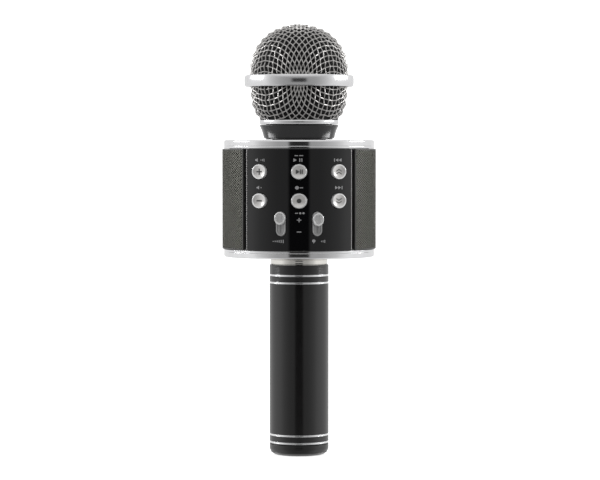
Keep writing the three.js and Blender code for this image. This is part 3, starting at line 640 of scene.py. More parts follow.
def end_cap():
    """The cap with its shallow recess and the three openings in its floor."""
    low, high = CAP_FLOOR
    radius, top, body_top = reach("end_cap"), heights("end_cap")[1], 5.9
    inner = SPIGOT - 1.9
    wall = [
        (CAP_RECESS, low, 0), (CAP_RECESS, 0, 0.3), (13.6, 0, 1.6), (15.7, 1.45, 0.3), (15.5, 1.75, 0.1),
        (15.8, 1.95, 0.2), (16.25, 3.0, 1.2), *ripples(radius, 3.5, 5.6), (radius, body_top, 0.15),
        (SPIGOT, body_top, 0.1), (SPIGOT, top, 0.4), (inner, top, 0.3), (inner, high, 0),
    ]
    slot = CHARGE_PORT
    port = stadium(slot["height"] + 0.5, slot["width"] + 0.5)[:, ::-1] * (1, -1) + (slot["x"], slot["y"])
    jack = ring(AUDIO_JACK["ferrule"] + 0.25, SMALL_ROUND, (AUDIO_JACK["x"], AUDIO_JACK["y"]))
    switch = rectangle(*POWER_SWITCH["slot"], 0.5, (POWER_SWITCH["x"], POWER_SWITCH["y"]))
    lip = 0.3
    cap = Shape()
    cap.put(*lathe(rounded(wall, 0.2), closed=False))
    for level, outline in ((low, CAP_RECESS), (high, inner)):
        flat, triangles = area(ring(outline, FULL_ROUND), [offset(h, lip) for h in (port, jack, switch)])
        cap.put(at_level(flat, level), triangles)
    for hole in (port, jack, switch):
        rings, _ = edge_rings(hole, low, high, lip, -1)
        cap.put(*strip(rings, closed=False))
    return cap.make("end_cap", [LACQUER], "satin_black")


def handle_tube():
    """The lacquered tube: two pairs of bright lines, and fine rings beside them."""
    bottom, top = heights("handle_tube")[0], COLLAR_SHOULDER - 0.25
    radius = reach("handle_tube")
    lines = []
    for z in LINE_HEIGHTS:
        half, floor = LINE["width"] / 2, radius - LINE["depth"]
        lines.append([(radius, z - half, 0.05), (floor, z - half + 0.2, 0.08),
                      (floor, z + half - 0.2, 0.08), (radius, z + half, 0.05)])
    wall = [
        (radius - HANDLE_WALL, bottom, 0.1), (radius, bottom, 0.12), *lines[0],
        *ripples(radius, 8.1, 10.3), *lines[1], *lines[2], *ripples(radius, 96.4, 98.5), *lines[3],
        *ripples(radius, 100.6, 104.8), (radius, top, 0.15), (radius - HANDLE_WALL, top, 0.1),
    ]
    bright = [(z - LINE["width"] / 2, z + LINE["width"] / 2) for z in LINE_HEIGHTS]
    tube = Shape().put(*marked_lathe(rounded(wall, 0.1, 3), bright))
    return tube.make("handle_tube", [LACQUER, BRIGHT_CUT], "satin_black")


def handle_collar():
    bottom, top = heights("handle_collar")
    shoulder, face, radius = COLLAR_SHOULDER, 109.3, reach("bottom_cover") - 25.8
    wall = [
        (11.4, bottom, 0.2), (SPIGOT, bottom, 0.5), (SPIGOT, shoulder, 0), (radius, shoulder, 0.45),
        (radius - 0.1, 106.4, 3), (radius, 107.4, 3), (radius, 108.15, 0.3), (radius - 0.6, 108.2, 0.05),
        (radius - 0.6, 108.45, 0.05), (radius, 108.5, 0.3), (radius, face, 0.3), (12.7, face, 0.1),
        *ripples(12.7, face + 0.6, top - 0.4, 0.8, 0.25), (12.7, top, 0.3), (11.4, top, 0.2),
    ]
    collar = Shape().put(*lathe(rounded(wall, 0.2), FINE_ROUND))
    return collar.make("handle_collar", [COLLAR_SILVER], "silver_plating")


def lock_nut():
    bottom, top = heights("handle_lock_nut")
    across = reach("handle_lock_nut")
    hexagon = rounded([(across * math.cos(a), across * math.sin(a)) for a in np.arange(6) * math.pi / 3], 1.2)
    nut = Shape().plate(hexagon, [ring(12.95, FULL_ROUND)], bottom, top, 0.4)
    return nut.make("handle_lock_nut", [STEEL], "steel")


def battery():
    bottom, top = heights("battery_cell")
    radius, can = reach("battery_cell"), top - 1.0
    wall = [
        (0, bottom), (7.4, bottom, 0.1), (7.6, bottom + 0.25, 0.1),
        (radius, bottom + 0.25, 0.5), (radius, can, 0.5), (7.2, can, 0.2), (7.0, can - 0.35, 0.1),
        (3.2, can - 0.35, 0.1), (3.0, top, 0.3), (0, top),
    ]
    profile = rounded(wall, 0.2)
    profile[0, 0] = profile[-1, 0] = 0
    cell = Shape().put(*lathe(profile, 64))
    cell.marks = [int(max(math.hypot(*cell.points[i][:2]) for i in f) < 7.3) for f in cell.faces]
    return cell.make("battery_cell", [CELL, STEEL], "battery_wrap")


def port_board():
    bottom, top = heights("port_board")
    board = Shape()
    board.plate(ring(reach("port_board"), 64), (), bottom, top, 0.08, steps=1)
    parts = [
        (0, 8.4, 4.0, 4.0, 0.8, 1), (-7.5, -3, 2.2, 1.2, 0.6, 1), (7.4, -4, 2.2, 1.2, 0.6, 1),
        (4.5, -8.5, 1.4, 0.9, 0.5, 2), (-4.5, -8.5, 1.4, 0.9, 0.5, 2),
    ]
    for x, y, w, d, h, mark in parts:
        board.slab(w, d, h, (x, y, top + h / 2 - 0.01), 0.06, mark=mark)
    return board.make("port_board", [BOARD, PLASTIC, SOLDER], "circuit_board")


def charge_port():
    """A small oval socket: a bent steel shell round a tongue with contacts."""
    width, height = CHARGE_PORT["width"], CHARGE_PORT["height"]

    def lying(points):
        return points[:, [1, 0, 2]] * (1, -1, 1) + (CHARGE_PORT["x"], CHARGE_PORT["y"], 0)

    shell = Shape()
    back, inside = 9.2, stadium(height - 0.7, width - 0.7)
    shell.plate(stadium(height, width), [inside], PORT_TIP, back, 0.1, place=lying)
    shell.plate(stadium(height - 0.02, width - 0.02), (), back, PORT_TOP, 0.1, place=lying)
    shell.plate(rectangle(0.7, 6.4, 0.3), (), PORT_TIP + 0.8, 9.4, 0.1, mark=1, place=lying)
    for k in range(8):
        for side in (-1, 1):
            middle = (side * 0.36, -2.6 + 0.74 * k, PORT_TIP + 2.6)
            shell.slab(0.08, 0.3, 3.0, middle, 0.02, mark=2, place=lying)
    return shell.make("charge_port", [STEEL, PLASTIC, SOLDER], "steel")


def audio_jack():
    x, y, ferrule, bore = (AUDIO_JACK[k] for k in ("x", "y", "ferrule", "bore"))
    place = shifted(x, y)
    jack = Shape()
    wall = [(bore, PORT_TIP, 0.35), (ferrule, PORT_TIP, 0.4), (ferrule, 5.8, 0.1), (bore, 5.8, 0.1)]
    jack.put(*lathe(rounded(wall, 0.2), SMALL_ROUND), mark=1, place=place)
    jack.plate(rectangle(7.6, 7.6, 0.6), [ring(bore, SMALL_ROUND)], 5.85, 10.7, 0.15, place=place)
    jack.plate(rectangle(7.4, 7.4, 0.6), (), 10.72, PORT_TOP, 0.1, place=place)
    return jack.make("audio_jack", [PLASTIC, STEEL], "black_plastic")


def power_switch():
    """The slide switch's steel body and its ribbed lever."""
    x, y = POWER_SWITCH["x"], POWER_SWITCH["y"]
    bottom, top = heights("power_switch_body")
    body = Shape()
    place, slot = shifted(x, y), rectangle(5.4, 2.6, 0.2)
    body.plate(rectangle(8.6, 4.0, 0.4), [slot], bottom, bottom + 0.6, 0.1, place=place)
    body.plate(rectangle(8.56, 3.96, 0.4), (), bottom + 2.9, top, 0.1, mark=1, place=place)
    walls = [(0, 1.85, 8.6, 0.3), (0, -1.85, 8.6, 0.3), (4.15, 0, 0.3, 3.4), (-4.15, 0, 0.3, 3.4)]
    for sx, sy, w, d in walls:
        body.slab(w, d, 2.4, (x + sx, y + sy, bottom + 1.75), 0.05)
    body.make("power_switch_body", [STEEL, PLASTIC], "steel")
    low, high = span("power_switch_knob")
    x, y, z = (low + high) / 2
    width, depth, height = high - low
    lever = Shape()
    rib_height = 0.5
    lever.slab(width - 0.1, depth, height - rib_height, (x, y, z + rib_height / 2), 0.2)
    for k in range(4):
        rib_x = low[0] + 0.42 + k * (width - 0.84) / 3
        lever.slab(0.32, depth - 0.1, rib_height + 0.1, (rib_x, y, low[2] + 0.3), 0.12)
    lever.make("power_switch_knob", [PLASTIC], "black_plastic", "power_slider")


# ---- Speaker drum ----

COVER_SIDES = {"bottom": 114.0, "top": 169.4}  # where each cover's side ends
COVER_EDGE = 2.3
COVER_FLOOR = 2.8
COVER_RIM = (36.6, 38.6)
SCREWS = {"azimuths": (60, 180, 300), "place": 35.2, "recess": 3.0, "depth": 1.6, "shank": 1.35}
PANEL_EDGE = 42.8
PANEL_INNER = 40.2
PANEL_ROLL = {"width": 1.2, "depth": 0.25}  # how the panel's face curves back at its two side edges
PANEL_HIGHLIGHT_WIDTH = 0.62  # width of the bright strip painted along those edges as their highlight
GRILLE_EDGE = 45.8
GRILLE_THICKNESS = 1.3
GRILLE_HEM = 0.45
GRILLE_CELL = (1.0, 0.7)  # half the width and height of a diamond opening with its metal
GRILLE_OPENING = 0.89  # share of the half-diamond that is open
GRILLE_SUNK = 0.7
DRIVER_HEIGHT = 141.7


def screw_places():
    for azimuth in SCREWS["azimuths"]:
        a = math.radians(azimuth)
        yield SCREWS["place"] * math.sin(a), -SCREWS["place"] * math.cos(a)


def cover_wall(radius, face, side, rim, up):
    """A cover's profile from its flat face's edge out and round to its floor's inside.
    up is 1 where the face is below and -1 where it is above."""
    groove = face + up * (abs(side - face) - 1.3)
    return [
        (radius - COVER_EDGE, face, 0), (radius, face, COVER_EDGE), (radius, groove - up * 0.18, 0.06),
        (radius - 0.16, groove, 0.05), (radius, groove + up * 0.18, 0.06), (radius, side, 0.25),
        (COVER_RIM[1], side, 0.1), (COVER_RIM[1], rim, 0.3), (COVER_RIM[0], rim, 0.3),
        (COVER_RIM[0], face + up * COVER_FLOOR, 0),
    ]


def bottom_cover():
    """The lower cover: a shallow dish with the collar's hole and three sunk screw holes."""
    face, rim = heights("bottom_cover")
    radius, side = reach("bottom_cover"), COVER_SIDES["bottom"]
    floor, sunk, bore = face + COVER_FLOOR, face + SCREWS["depth"], 13.0
    cover = Shape()
    wall = rounded(cover_wall(radius, face, side, rim, 1), 0.2)
    cover.put(*lathe(wall, DRUM_SIDES, closed=False))
    hole = ring(bore, FULL_ROUND)
    recesses = [ring(SCREWS["recess"], SMALL_ROUND, p) for p in screw_places()]
    shanks = [ring(SCREWS["shank"], SMALL_ROUND, p) for p in screw_places()]
    bevel = 0.2
    outer = ring(wall[0][0], DRUM_SIDES)
    flat, triangles = area(outer, [offset(h, bevel) for h in (hole, *recesses)])
    cover.put(at_level(flat, face), triangles)
    inner_holes = [offset(hole, bevel), *[offset(s, 0.03) for s in shanks]]
    flat, triangles = area(ring(COVER_RIM[0], DRUM_SIDES), inner_holes)
    cover.put(at_level(flat, floor), triangles)
    cover.put(*strip(edge_rings(hole, face, floor, bevel, -1)[0], closed=False))
    for recess, shank in zip(recesses, shanks):
        lip = edge_rings(recess, face, floor, bevel, -1)[0][4:]
        base = at_level(recess, sunk)
        cover.put(*strip([base, *lip], closed=False))
        cover.put(*strip([base, at_level(shank, sunk)], closed=False))
        through = edge_rings(shank, sunk, floor, 0.03, -1)[0][:4]
        cover.put(*strip([*through, at_level(shank, sunk)], closed=False))
    return cover.make("bottom_cover", [SILVER], "silver_plating")


def top_cover():
    rim, face = heights("top_cover")
    wall = cover_wall(reach("top_cover"), face, COVER_SIDES["top"], rim, -1)
    bore = 15.0
    wall = [(bore, face - COVER_FLOOR, 0.2), (bore, face, 0.3), *wall]
    cover = Shape().put(*lathe(rounded(wall, 0.2), DRUM_SIDES))
    return cover.make("top_cover", [SILVER], "silver_plating")


def cover_screws():
    """Pan heads with a cross recess, sunk in the bottom cover."""
    arm, half = 1.5, 0.34
    cross = [(arm, -half), (arm, half), (half, half), (half, arm), (-half, arm), (-half, half),
             (-arm, half), (-arm, -half), (-half, -half), (-half, -arm), (half, -arm), (half, -half)]
    cross = rounded(cross, 0.12, 2)
    for number, (x, y) in enumerate(screw_places(), 1):
        node = f"cover_screw_{number}"
        bottom, top = heights(node)
        screw = Shape()
        head, thick, shank = 2.7, 1.2, 1.25
        under = bottom + thick
        wall = [(2.2, bottom, 0), (head, bottom, 0.5), (head, under, 0.1), (shank, under, 0.1),
                *ripples(shank, under + 0.4, top - 1.6, 0.9, 0.25), (0.3, top, 0.1), (0, top)]
        profile = rounded(wall, 0.1, 3)
        body, faces = lathe(profile, SMALL_ROUND, closed=False)
        place = shifted(x, y)
        screw.put(body, faces, place=place)
        last = len(body) - SMALL_ROUND
        screw.put(np.concatenate([body[last:], [[0, 0, top]]]),
                  [(k, (k + 1) % SMALL_ROUND, SMALL_ROUND) for k in range(SMALL_ROUND)], place=place)
        flat, triangles = area(ring(profile[0, 0], SMALL_ROUND), [offset(cross, 0.05)])
        screw.put(at_level(flat, bottom), triangles, place=place)
        deep = bottom + 0.9
        levels = [(offset(cross, 0.05), bottom), (cross, bottom + 0.08), (offset(cross, -0.1), deep)]
        screw.put(*strip([at_level(c, z) for c, z in levels], closed=False), place=place)
        flat, triangles = area(offset(cross, -0.1))
        screw.put(at_level(flat, deep), triangles, place=place)
        screw.make(node, [STEEL], "steel")


def speaker_barrel():
    """The C-shaped inner body with the sound window, the baffle and the screw bosses."""
    low, high = span("speaker_barrel")
    bottom, top = 114.3, high[2]
    inner, outer, edge = 38.9, 40.9, 43.5
    half = math.radians(180 - edge) * outer
    middle = (bottom + top) / 2
    window = divided(rectangle(2 * math.radians(35) * outer, 36.0, 3.0, (0, 142.0)), 2.0)
    outline = divided(rectangle(2 * half, top - bottom, 0.4, (0, middle)), 2.0)
    wall = plate(outline, [window], inner, outer, 0.3, pitch=4.0)
    barrel = Shape()
    barrel.put(wrapped(wall[0], outer), wall[1], place=lambda p: p * (-1, -1, 1))
    front, back = 26.5, 28.5
    reach_out = math.sqrt(inner**2 - back**2) + 0.3
    holes = [ring(20.8, FULL_ROUND, (0, DRIVER_HEIGHT))]
    holes += [ring(1.05, 16, (x, y + DRIVER_HEIGHT)) for x, y in driver_screw_places()]
    baffle = rectangle(2 * reach_out, 48.5, 0.5, (0, 141.75))
    barrel.plate(baffle, holes, front, back, 0.2, place=station(180))
    for x, y in screw_places():
        boss = [(1.55, low[2], 0.1), (4.0, low[2], 0.3), (4.0, 122, 0.3), (1.55, 122, 0.1)]
        barrel.put(*lathe(rounded(boss, 0.2), SMALL_ROUND), place=shifted(x, y))
    return barrel.make("speaker_barrel", [PLASTIC], "black_plastic")


def grille_wrap():
    """The perforated wrap: a net of diamonds sunk to the black cloth behind, with a plain hem all round that
    is painted near black as the shade of the gap beside it.
    """
    bottom, top = heights("grille_wrap") + np.array([-0.15, 0.15])
    outer = span("grille_wrap")[1][0]
    half_arc = math.radians(180 - GRILLE_EDGE) * outer
    side, low, high = half_arc - GRILLE_HEM, bottom + GRILLE_HEM, top - GRILLE_HEM
    columns, rows = 2 * round(side / GRILLE_CELL[0]), 2 * round((high - low) / (2 * GRILLE_CELL[1]))
    x, y = np.linspace(-side, side, columns + 1), np.linspace(low, high, rows + 1)
    opening = np.array([x[1] - x[0], y[1] - y[0]]) * GRILLE_OPENING
    floor = outer - GRILLE_SUNK
    points = [(a, b, outer) for b in y for a in x]
    faces, marks = [], []
    for j in range(rows + 1):
        for i in range(j % 2, columns + 1, 2):
            around = [(i + 1, j), (i, j + 1), (i - 1, j), (i, j - 1)]
            around = [b * (columns + 1) + a for a, b in around if 0 <= a <= columns and 0 <= b <= rows]
            if len(around) < 4:
                at_corner = [j * (columns + 1) + i] if len(around) == 2 else []
                faces.append(tuple(around + at_corner))
                # Corner faces belong to the hem and take its painted gap shade.
                marks.append(2)
                continue
            start = len(points)
            for level in (outer, floor):
                points += [(x[i] + opening[0], y[j], level), (x[i], y[j] + opening[1], level),
                           (x[i] - opening[0], y[j], level), (x[i], y[j] - opening[1], level)]
            for k in range(4):
                n = (k + 1) % 4
                faces.append((around[k], around[n], start + n, start + k))
                faces.append((start + k, start + n, start + 4 + n, start + 4 + k))
            faces.append((start + 4, start + 5, start + 6, start + 7))
            marks += [0] * 8 + [1]
    edge = [(x[i], y[0]) for i in (0, *range(1, columns, 2), columns)]
    edge += [(x[-1], y[j]) for j in (*range(1, rows, 2), rows)]
    edge += [(x[i], y[-1]) for i in (*range(columns - 1, 0, -2), 0)]
    edge += [(x[0], y[j]) for j in range(rows - 1, 0, -2)]
    edge = np.array(edge)
    rings, _ = edge_rings(offset(edge, GRILLE_HEM), outer - GRILLE_THICKNESS, outer, 0.25, 1)
    wrap = Shape()

    def round_the_back(points):
        return wrapped(points, outer) * (-1, -1, 1)

    wrap.put(points, faces, marks, round_the_back)
    hem = strip([at_level(edge, outer), *rings], closed=False)
    # The hem strip takes the painted gap shade.
    wrap.put(*hem, mark=2, place=round_the_back)
    rim = rings[-1][:, :2]
    flat, triangles = area(rim, (), grid(rim, 3.0))
    wrap.put(at_level(flat, outer - GRILLE_THICKNESS), triangles, 1, round_the_back)
    return wrap.make("grille_wrap", [GRILLE, BACKING, GRILLE_HEM_SHADE], "grille_grey")


# ---- Control panel ----

PANEL_FACE = 42.4
KEY_SIZE = (8.5, 8.0)
KEY_TOP = 43.8
KEY_FLANGE = (37.9, 39.3)
KEY_STEM = (1.5, 36.7)
KEYS = {
    "volume_up": (-30, 156.9), "play": (0, 156.9), "previous": (30, 156.9),
    "volume_down": (-30, 141.2), "record": (0, 141.2), "next": (30, 141.2),
}
DISH = {"radius": 3.45, "edge": 43.55, "middle": 42.95}
SLIDER_AZIMUTH = 13.4
SLIDER_HEIGHT = 128.8
TROUGH_SIZE = (5.3, 13.0)
TROUGH_WALL = 0.7
TROUGH_LEVELS = {"back": 38.4, "flange": 39.6, "under": 41.3, "floor": 42.0, "top": 42.65}
SLIDERS = {"echo_slider": -1, "mic_slider": 1}
KNOB_SIZE = (6.2, 7.2)
KNOB_LEVELS = (42.95, 45.4)
KNOB_BAR = -42.6  # Y where the bar behind a knob meets it
POT_X = 9.25


def arc_place(azimuth):
    return math.radians(azimuth) * PANEL_FACE


def rolled(points, normals, half):
    """Curves the panel's face back towards its two side edges, at half its width from the middle."""
    width, depth = PANEL_ROLL["width"], PANEL_ROLL["depth"]
    t = np.clip((np.abs(points[:, 0]) - half) / width + 1, 0, None)
    points, normals = points.copy(), normals.copy()
    share = (points[:, 2] - PANEL_INNER) / (PANEL_FACE - PANEL_INNER)
    points[:, 2] -= depth * share * t**2
    normals[:, 0] += share * np.sign(points[:, 0]) * 2 * depth * t / width * normals[:, 2]
    return points, unit(normals)


def control_panel():
    """The glossy curved panel with openings for the keys and sliders, and a bright strip painted along its
    two side edges as their highlight.
    """
    bottom, top = heights("control_panel") + np.array([-0.2, 0.2])
    width = 2 * arc_place(PANEL_EDGE)
    across, tall = (size / 2 + CLEARANCE for size in KEY_SIZE)
    openings = [ring(across, 48, (arc_place(a), z), tall) for a, z in KEYS.values()]
    for side in SLIDERS.values():
        place = (side * arc_place(SLIDER_AZIMUTH), SLIDER_HEIGHT)
        openings.append(stadium(TROUGH_SIZE[0] + 2 * CLEARANCE, TROUGH_SIZE[1] + 2 * CLEARANCE, place))
    outline = divided(rectangle(width, top - bottom, 0.8, (0, (bottom + top) / 2), 6), 1.2)
    columns = [side * (width / 2 - PANEL_HIGHLIGHT_WIDTH - 0.2 * k) for side in (-1, 1) for k in range(6)]
    more = np.array([(x, y) for x in columns for y in np.arange(bottom + 1.2, top - 1.0, 1.2)])
    points, faces, normals = plate(outline, openings, PANEL_INNER, PANEL_FACE, 0.25, 1.6, 3, 0.16, more)
    points, normals = rolled(points, normals, width / 2)
    # Faces along the two side edges take the painted edge highlight.
    marks = [int(min(abs(points[i][0]) for i in f) > width / 2 - PANEL_HIGHLIGHT_WIDTH - 0.01) for f in faces]
    panel = Shape().put(wrapped(points, PANEL_FACE), faces, marks)
    turned = wrapped_normals(normals, points, PANEL_FACE)
    return panel.make("control_panel", [GLOSS, PANEL_EDGE_HIGHLIGHT], "gloss_black", weld=False, normals=turned)


def dish_height(radius):
    return DISH["middle"] + (DISH["edge"] - DISH["middle"]) * (radius / DISH["radius"]) ** 2


def chevron(height, up):
    """A V-shaped mark with its tip up (1) or down (-1)."""
    half, rise, thick = 1.7, 1.0, 0.62
    loop = np.array([(-half, 0), (0, rise), (half, 0), (half, thick), (0, rise + thick), (-half, thick)])
    loop = (loop - (0, (rise + thick) / 2)) * (1, up) + (0, height)
    return loop if up > 0 else loop[::-1]


def bar(x, y, width, height):
    return rectangle(width, height, 0.12, (x, y), 2)


def arrow(x, y, width, height, way=1):
    """A triangle that points right (1) or left (-1)."""
    loop = np.array([(-width / 2, -height / 2), (width / 2, 0), (-width / 2, height / 2)]) * (way, 1)
    return rounded((loop if way > 0 else loop[::-1]) + (x, y), 0.1, 2)


def key_marks(name):
    thick, long = 0.75, 3.4
    if name == "volume_up":
        a, b = thick / 2, long / 2
        cross = [(-a, -b), (a, -b), (a, -a), (b, -a), (b, a), (a, a),
                 (a, b), (-a, b), (-a, a), (-b, a), (-b, -a), (-a, -a)]
        return [rounded(cross, 0.1, 2)]
    return {
        "volume_down": [bar(0, 0, long, thick)],
        "play": [arrow(-0.75, 0, 2.0, 2.6), bar(0.85, 0, 0.55, 2.6), bar(1.75, 0, 0.55, 2.6)],
        "record": [ring(1.25, 32)],
        "previous": [chevron(-0.75, 1), chevron(0.75, 1)],
        "next": [chevron(-0.75, -1), chevron(0.75, -1)],
    }[name]


def key(name, azimuth, height):
    """An oval key: plated rim, shallow dish with a mark, and the flange and stem behind the panel."""
    radius, tall = KEY_SIZE[0] / 2, KEY_SIZE[1] / KEY_SIZE[0]
    stem, foot = KEY_STEM
    flange_low, flange_high = KEY_FLANGE
    outside = [
        (0, foot, 0), (stem, foot, 0.2), (stem, flange_low, 0.1), (radius + 0.9, flange_low, 0.2),
        (radius + 0.9, flange_high, 0.2), (radius, flange_high, 0.1), (radius, KEY_TOP, 0.45),
        (DISH["radius"] + 0.15, KEY_TOP, 0.3), (DISH["radius"], DISH["edge"], 0.05),
    ]
    curve = [(r, dish_height(r), 0) for r in np.linspace(DISH["radius"], 0, 9)[1:]]
    profile = rounded([*outside, *curve], 0.2, 5)
    profile[-1, 0] = 0
    points, faces = lathe(profile, 64, tall)
    dished = [max(math.hypot(points[i][0], points[i][1] / tall) for i in f) < DISH["radius"] + 0.01
              and min(points[i][2] for i in f) > KEY_FLANGE[1] for f in faces]
    made = Shape().put(points, faces, [int(d) for d in dished], station(azimuth, height))
    for outline in key_marks(name):
        mark, mark_faces, _ = plate(outline, (), -0.12, 0.05, 0.03, 0.7, 2)
        mark[:, 2] += dish_height(np.hypot(mark[:, 0], mark[:, 1] / tall))
        made.put(mark, mark_faces, 2, station(azimuth, height))
    return made.make(f"{name}_button", [KEY_RIM, KEY_DISH, KEY_MARK], "button_silver", f"{name}_key")


def slider_trough(node, side):
    """The raised oval frame, its sunk floor with the lever's slot, and the dust strip under the slot."""
    place = station(side * SLIDER_AZIMUTH, SLIDER_HEIGHT)
    width, height = TROUGH_SIZE
    inside = stadium(width - 2 * TROUGH_WALL, height - 2 * TROUGH_WALL)
    levels = TROUGH_LEVELS
    trough = Shape()
    back, under = levels["back"], levels["under"]
    trough.plate(stadium(width, height), [inside], back, levels["top"], 0.22, place=place)
    flange, collar = stadium(width + 4, height + 4), stadium(width - 0.1, height - 0.1)
    trough.plate(flange, [collar], back, levels["flange"], 0.15, place=place)
    lever_slot = stadium(1.3, 10.0)
    trough.plate(offset(inside, 0.03), [lever_slot], under, levels["floor"], 0.1, mark=1, place=place)
    trough.slab(2.0, 10.8, 0.25, (0, 0, under - 0.1), 0.05, mark=1, place=place)
    name = node.replace("slider", "slider_trough")
    return trough.make(name, [TRACK, TRACK_FLOOR], "silver_plating")


def slider_knob(node, side):
    """A small oval silver knob: raised rim, sunk top with grip ridges, and its bar down to the slide pot."""
    name = f"{node}_knob"
    height = (heights(name)[0] + heights(name)[1]) / 2
    radius, tall = KNOB_SIZE[0] / 2, KNOB_SIZE[1] / KNOB_SIZE[0]
    low, high = KNOB_LEVELS
    sunk = high - 0.55
    profile = rounded([
        (0, low, 0), (radius - 0.1, low, 0.25), (radius, low + 0.8, 1), (radius - 0.15, high, 0.35),
        (radius - 0.75, high, 0.2), (radius - 0.95, sunk, 0.15), (0, sunk, 0),
    ], 0.2)
    profile[0, 0] = profile[-1, 0] = 0
    points, faces = lathe(profile, 48, tall)
    rim = [int(min(points[i][2] for i in f) > sunk + 0.05) for f in faces]
    place = station(side * SLIDER_AZIMUTH, height)
    knob = Shape().put(points, faces, rim, place)
    for x in np.linspace(-1.5, 1.5, 5):
        long = 2 * tall * math.sqrt((radius - 1.15) ** 2 - x**2)
        knob.slab(0.36, long, 0.5, (x, 0, sunk + 0.1), 0.14, place=place)
    tip = span(name)[1][1]
    knob.slab(1.0, abs(KNOB_BAR - tip), 2.6, (side * POT_X, (tip + KNOB_BAR) / 2, height), 0.15, mark=2)
    return knob.make(name, [KNOB, KNOB_RIM, PLASTIC], "knob_silver", node)


def loudspeaker_mark(x, y):
    cone = [(-0.75, -0.4), (-0.2, -0.4), (0.55, -0.95), (0.55, 0.95), (-0.2, 0.4), (-0.75, 0.4)]
    return rounded(np.array(cone) + (x, y), 0.06, 2)


def prints():
    """Plain pictograms in place of lettering, each a list of outlines round its own middle."""
    waves = [bar(0.6 + 0.75 * k, 0, 0.34, 0.6 + 0.45 * k) for k in range(3)]
    steps = [bar(-2.2 + 0.9 * k, 0, 0.42, 0.5 + 0.24 * k) for k in range(6)]
    key_rise, label_rise = 6.3, 7.1
    top_row, second_row = KEYS["play"][1] + key_rise, KEYS["record"][1] + label_rise
    return [
        (-30, top_row, [loudspeaker_mark(-1.6, 0), *waves]),
        (0, top_row, [arrow(-1.7, 0, 1.5, 1.7), bar(0.3, 0, 0.45, 1.7), bar(1.2, 0, 0.45, 1.7)]),
        (30, top_row, [bar(-1.9, 0, 0.4, 1.7), arrow(-0.7, 0, 1.4, 1.7, -1), arrow(0.9, 0, 1.4, 1.7, -1)]),
        (-30, second_row, [loudspeaker_mark(-0.9, 0), bar(0.6, 0, 0.34, 0.6)]),
        (0, top_row + 2.4, [bar(-1.2, 0, 1.5, 0.42), bar(0.9, 0, 1.7, 0.42)]),
        (0, second_row, [ring(0.85, 24, (-0.9, 0)), bar(1.0, 0, 1.5, 0.42)]),
        (30, second_row, [arrow(-0.9, 0, 1.4, 1.7), arrow(0.7, 0, 1.4, 1.7), bar(1.9, 0, 0.4, 1.7)]),
        (0, 134.6, [bar(-1.1, 0, 1.3, 0.42), ring(0.5, 20, (0.5, 0)), ring(0.5, 20, (1.9, 0))]),
        (0, 130.9, [bar(0, 0, 2.0, 0.42), bar(0, 0.63, 0.42, 0.84), bar(0, -0.63, 0.42, 0.84)]),
        (0, 124.5, [bar(0, 0, 2.0, 0.42)]),
        (-15.5, 119.4, steps),
        (14.0, 119.4, [ring(0.75, 24, (-1.9, 0.25)), bar(-1.9, -0.62, 0.36, 0.7)]),
        (14.0, 119.4, [wave + (0.9, 0) for wave in waves]),
    ]


PRINT_SCALE = (1.25, 1.1)


def printed_marks():
    marks = Shape()
    sunk, proud = PANEL_FACE - 0.04, PANEL_FACE + 0.035
    for azimuth, height, outlines in prints():
        middle = np.array([arc_place(azimuth), height])
        for outline in outlines:
            points, faces, _ = plate(outline * PRINT_SCALE + middle, (), sunk, proud, 0.01, 0.8, 1)
            marks.put(wrapped(points, PANEL_FACE), faces)
    return marks.make("panel_prints", [PRINT])


# ---- Loudspeaker ----

DRIVER_SCREW_CIRCLE = 22.4
CONE_BODY = "speaker_cone"


def driver_screw_places():
    for number in range(4):
        a = math.radians(45 + 90 * number)
        yield DRIVER_SCREW_CIRCLE * math.cos(a), DRIVER_SCREW_CIRCLE * math.sin(a)


def driver_part(node, profile, finish, body, slot, radius=0.1, steps=4):
    """A turned part of the loudspeaker on its axis, which points backwards."""
    outline = rounded(profile, radius, steps)
    for end in (0, -1):
        if profile[end][0] == 0:
            outline[end, 0] = 0
    part = Shape().put(*lathe(outline, FULL_ROUND), place=station(180, DRIVER_HEIGHT))
    return part.make(node, [finish], slot, body)


def flexing(piece):
    """Bakes the placement of a ring between the frame and the cone into its points."""
    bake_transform(piece)


def cone():
    wall = [(7.6, 14.5), (8.5, 14.5), (11.9, 19.2, 9), (16.7, 24.3), (15.8, 24.3), (11.1, 19.4, 9)]
    driver_part("driver_cone", wall, PAPER, CONE_BODY, "cone_paper", steps=12)
    inside = [(r, 19.4 - 2.2 * (r / 9.1) ** 2, 0) for r in np.linspace(0, 9.1, 12)]
    outside = [(r, 20.1 - 2.4 * (r / 9.3) ** 2, 0) for r in np.linspace(9.3, 0, 12)]
    driver_part("driver_dust_cap", inside + outside, PAPER, CONE_BODY, "cone_paper")
    winding = ripples(8.25, 3.3, 8.4, 0.3, 0.07)
    former = [(7.75, 3.2, 0.05), (8.2, 3.2, 0.05), *winding, (8.0, 8.6, 0.05),
              (8.0, 14.2, 0.05), (7.75, 14.2, 0.05)]
    driver_part("driver_voice_coil", former, COPPER, CONE_BODY, "copper", 0.05, 2)


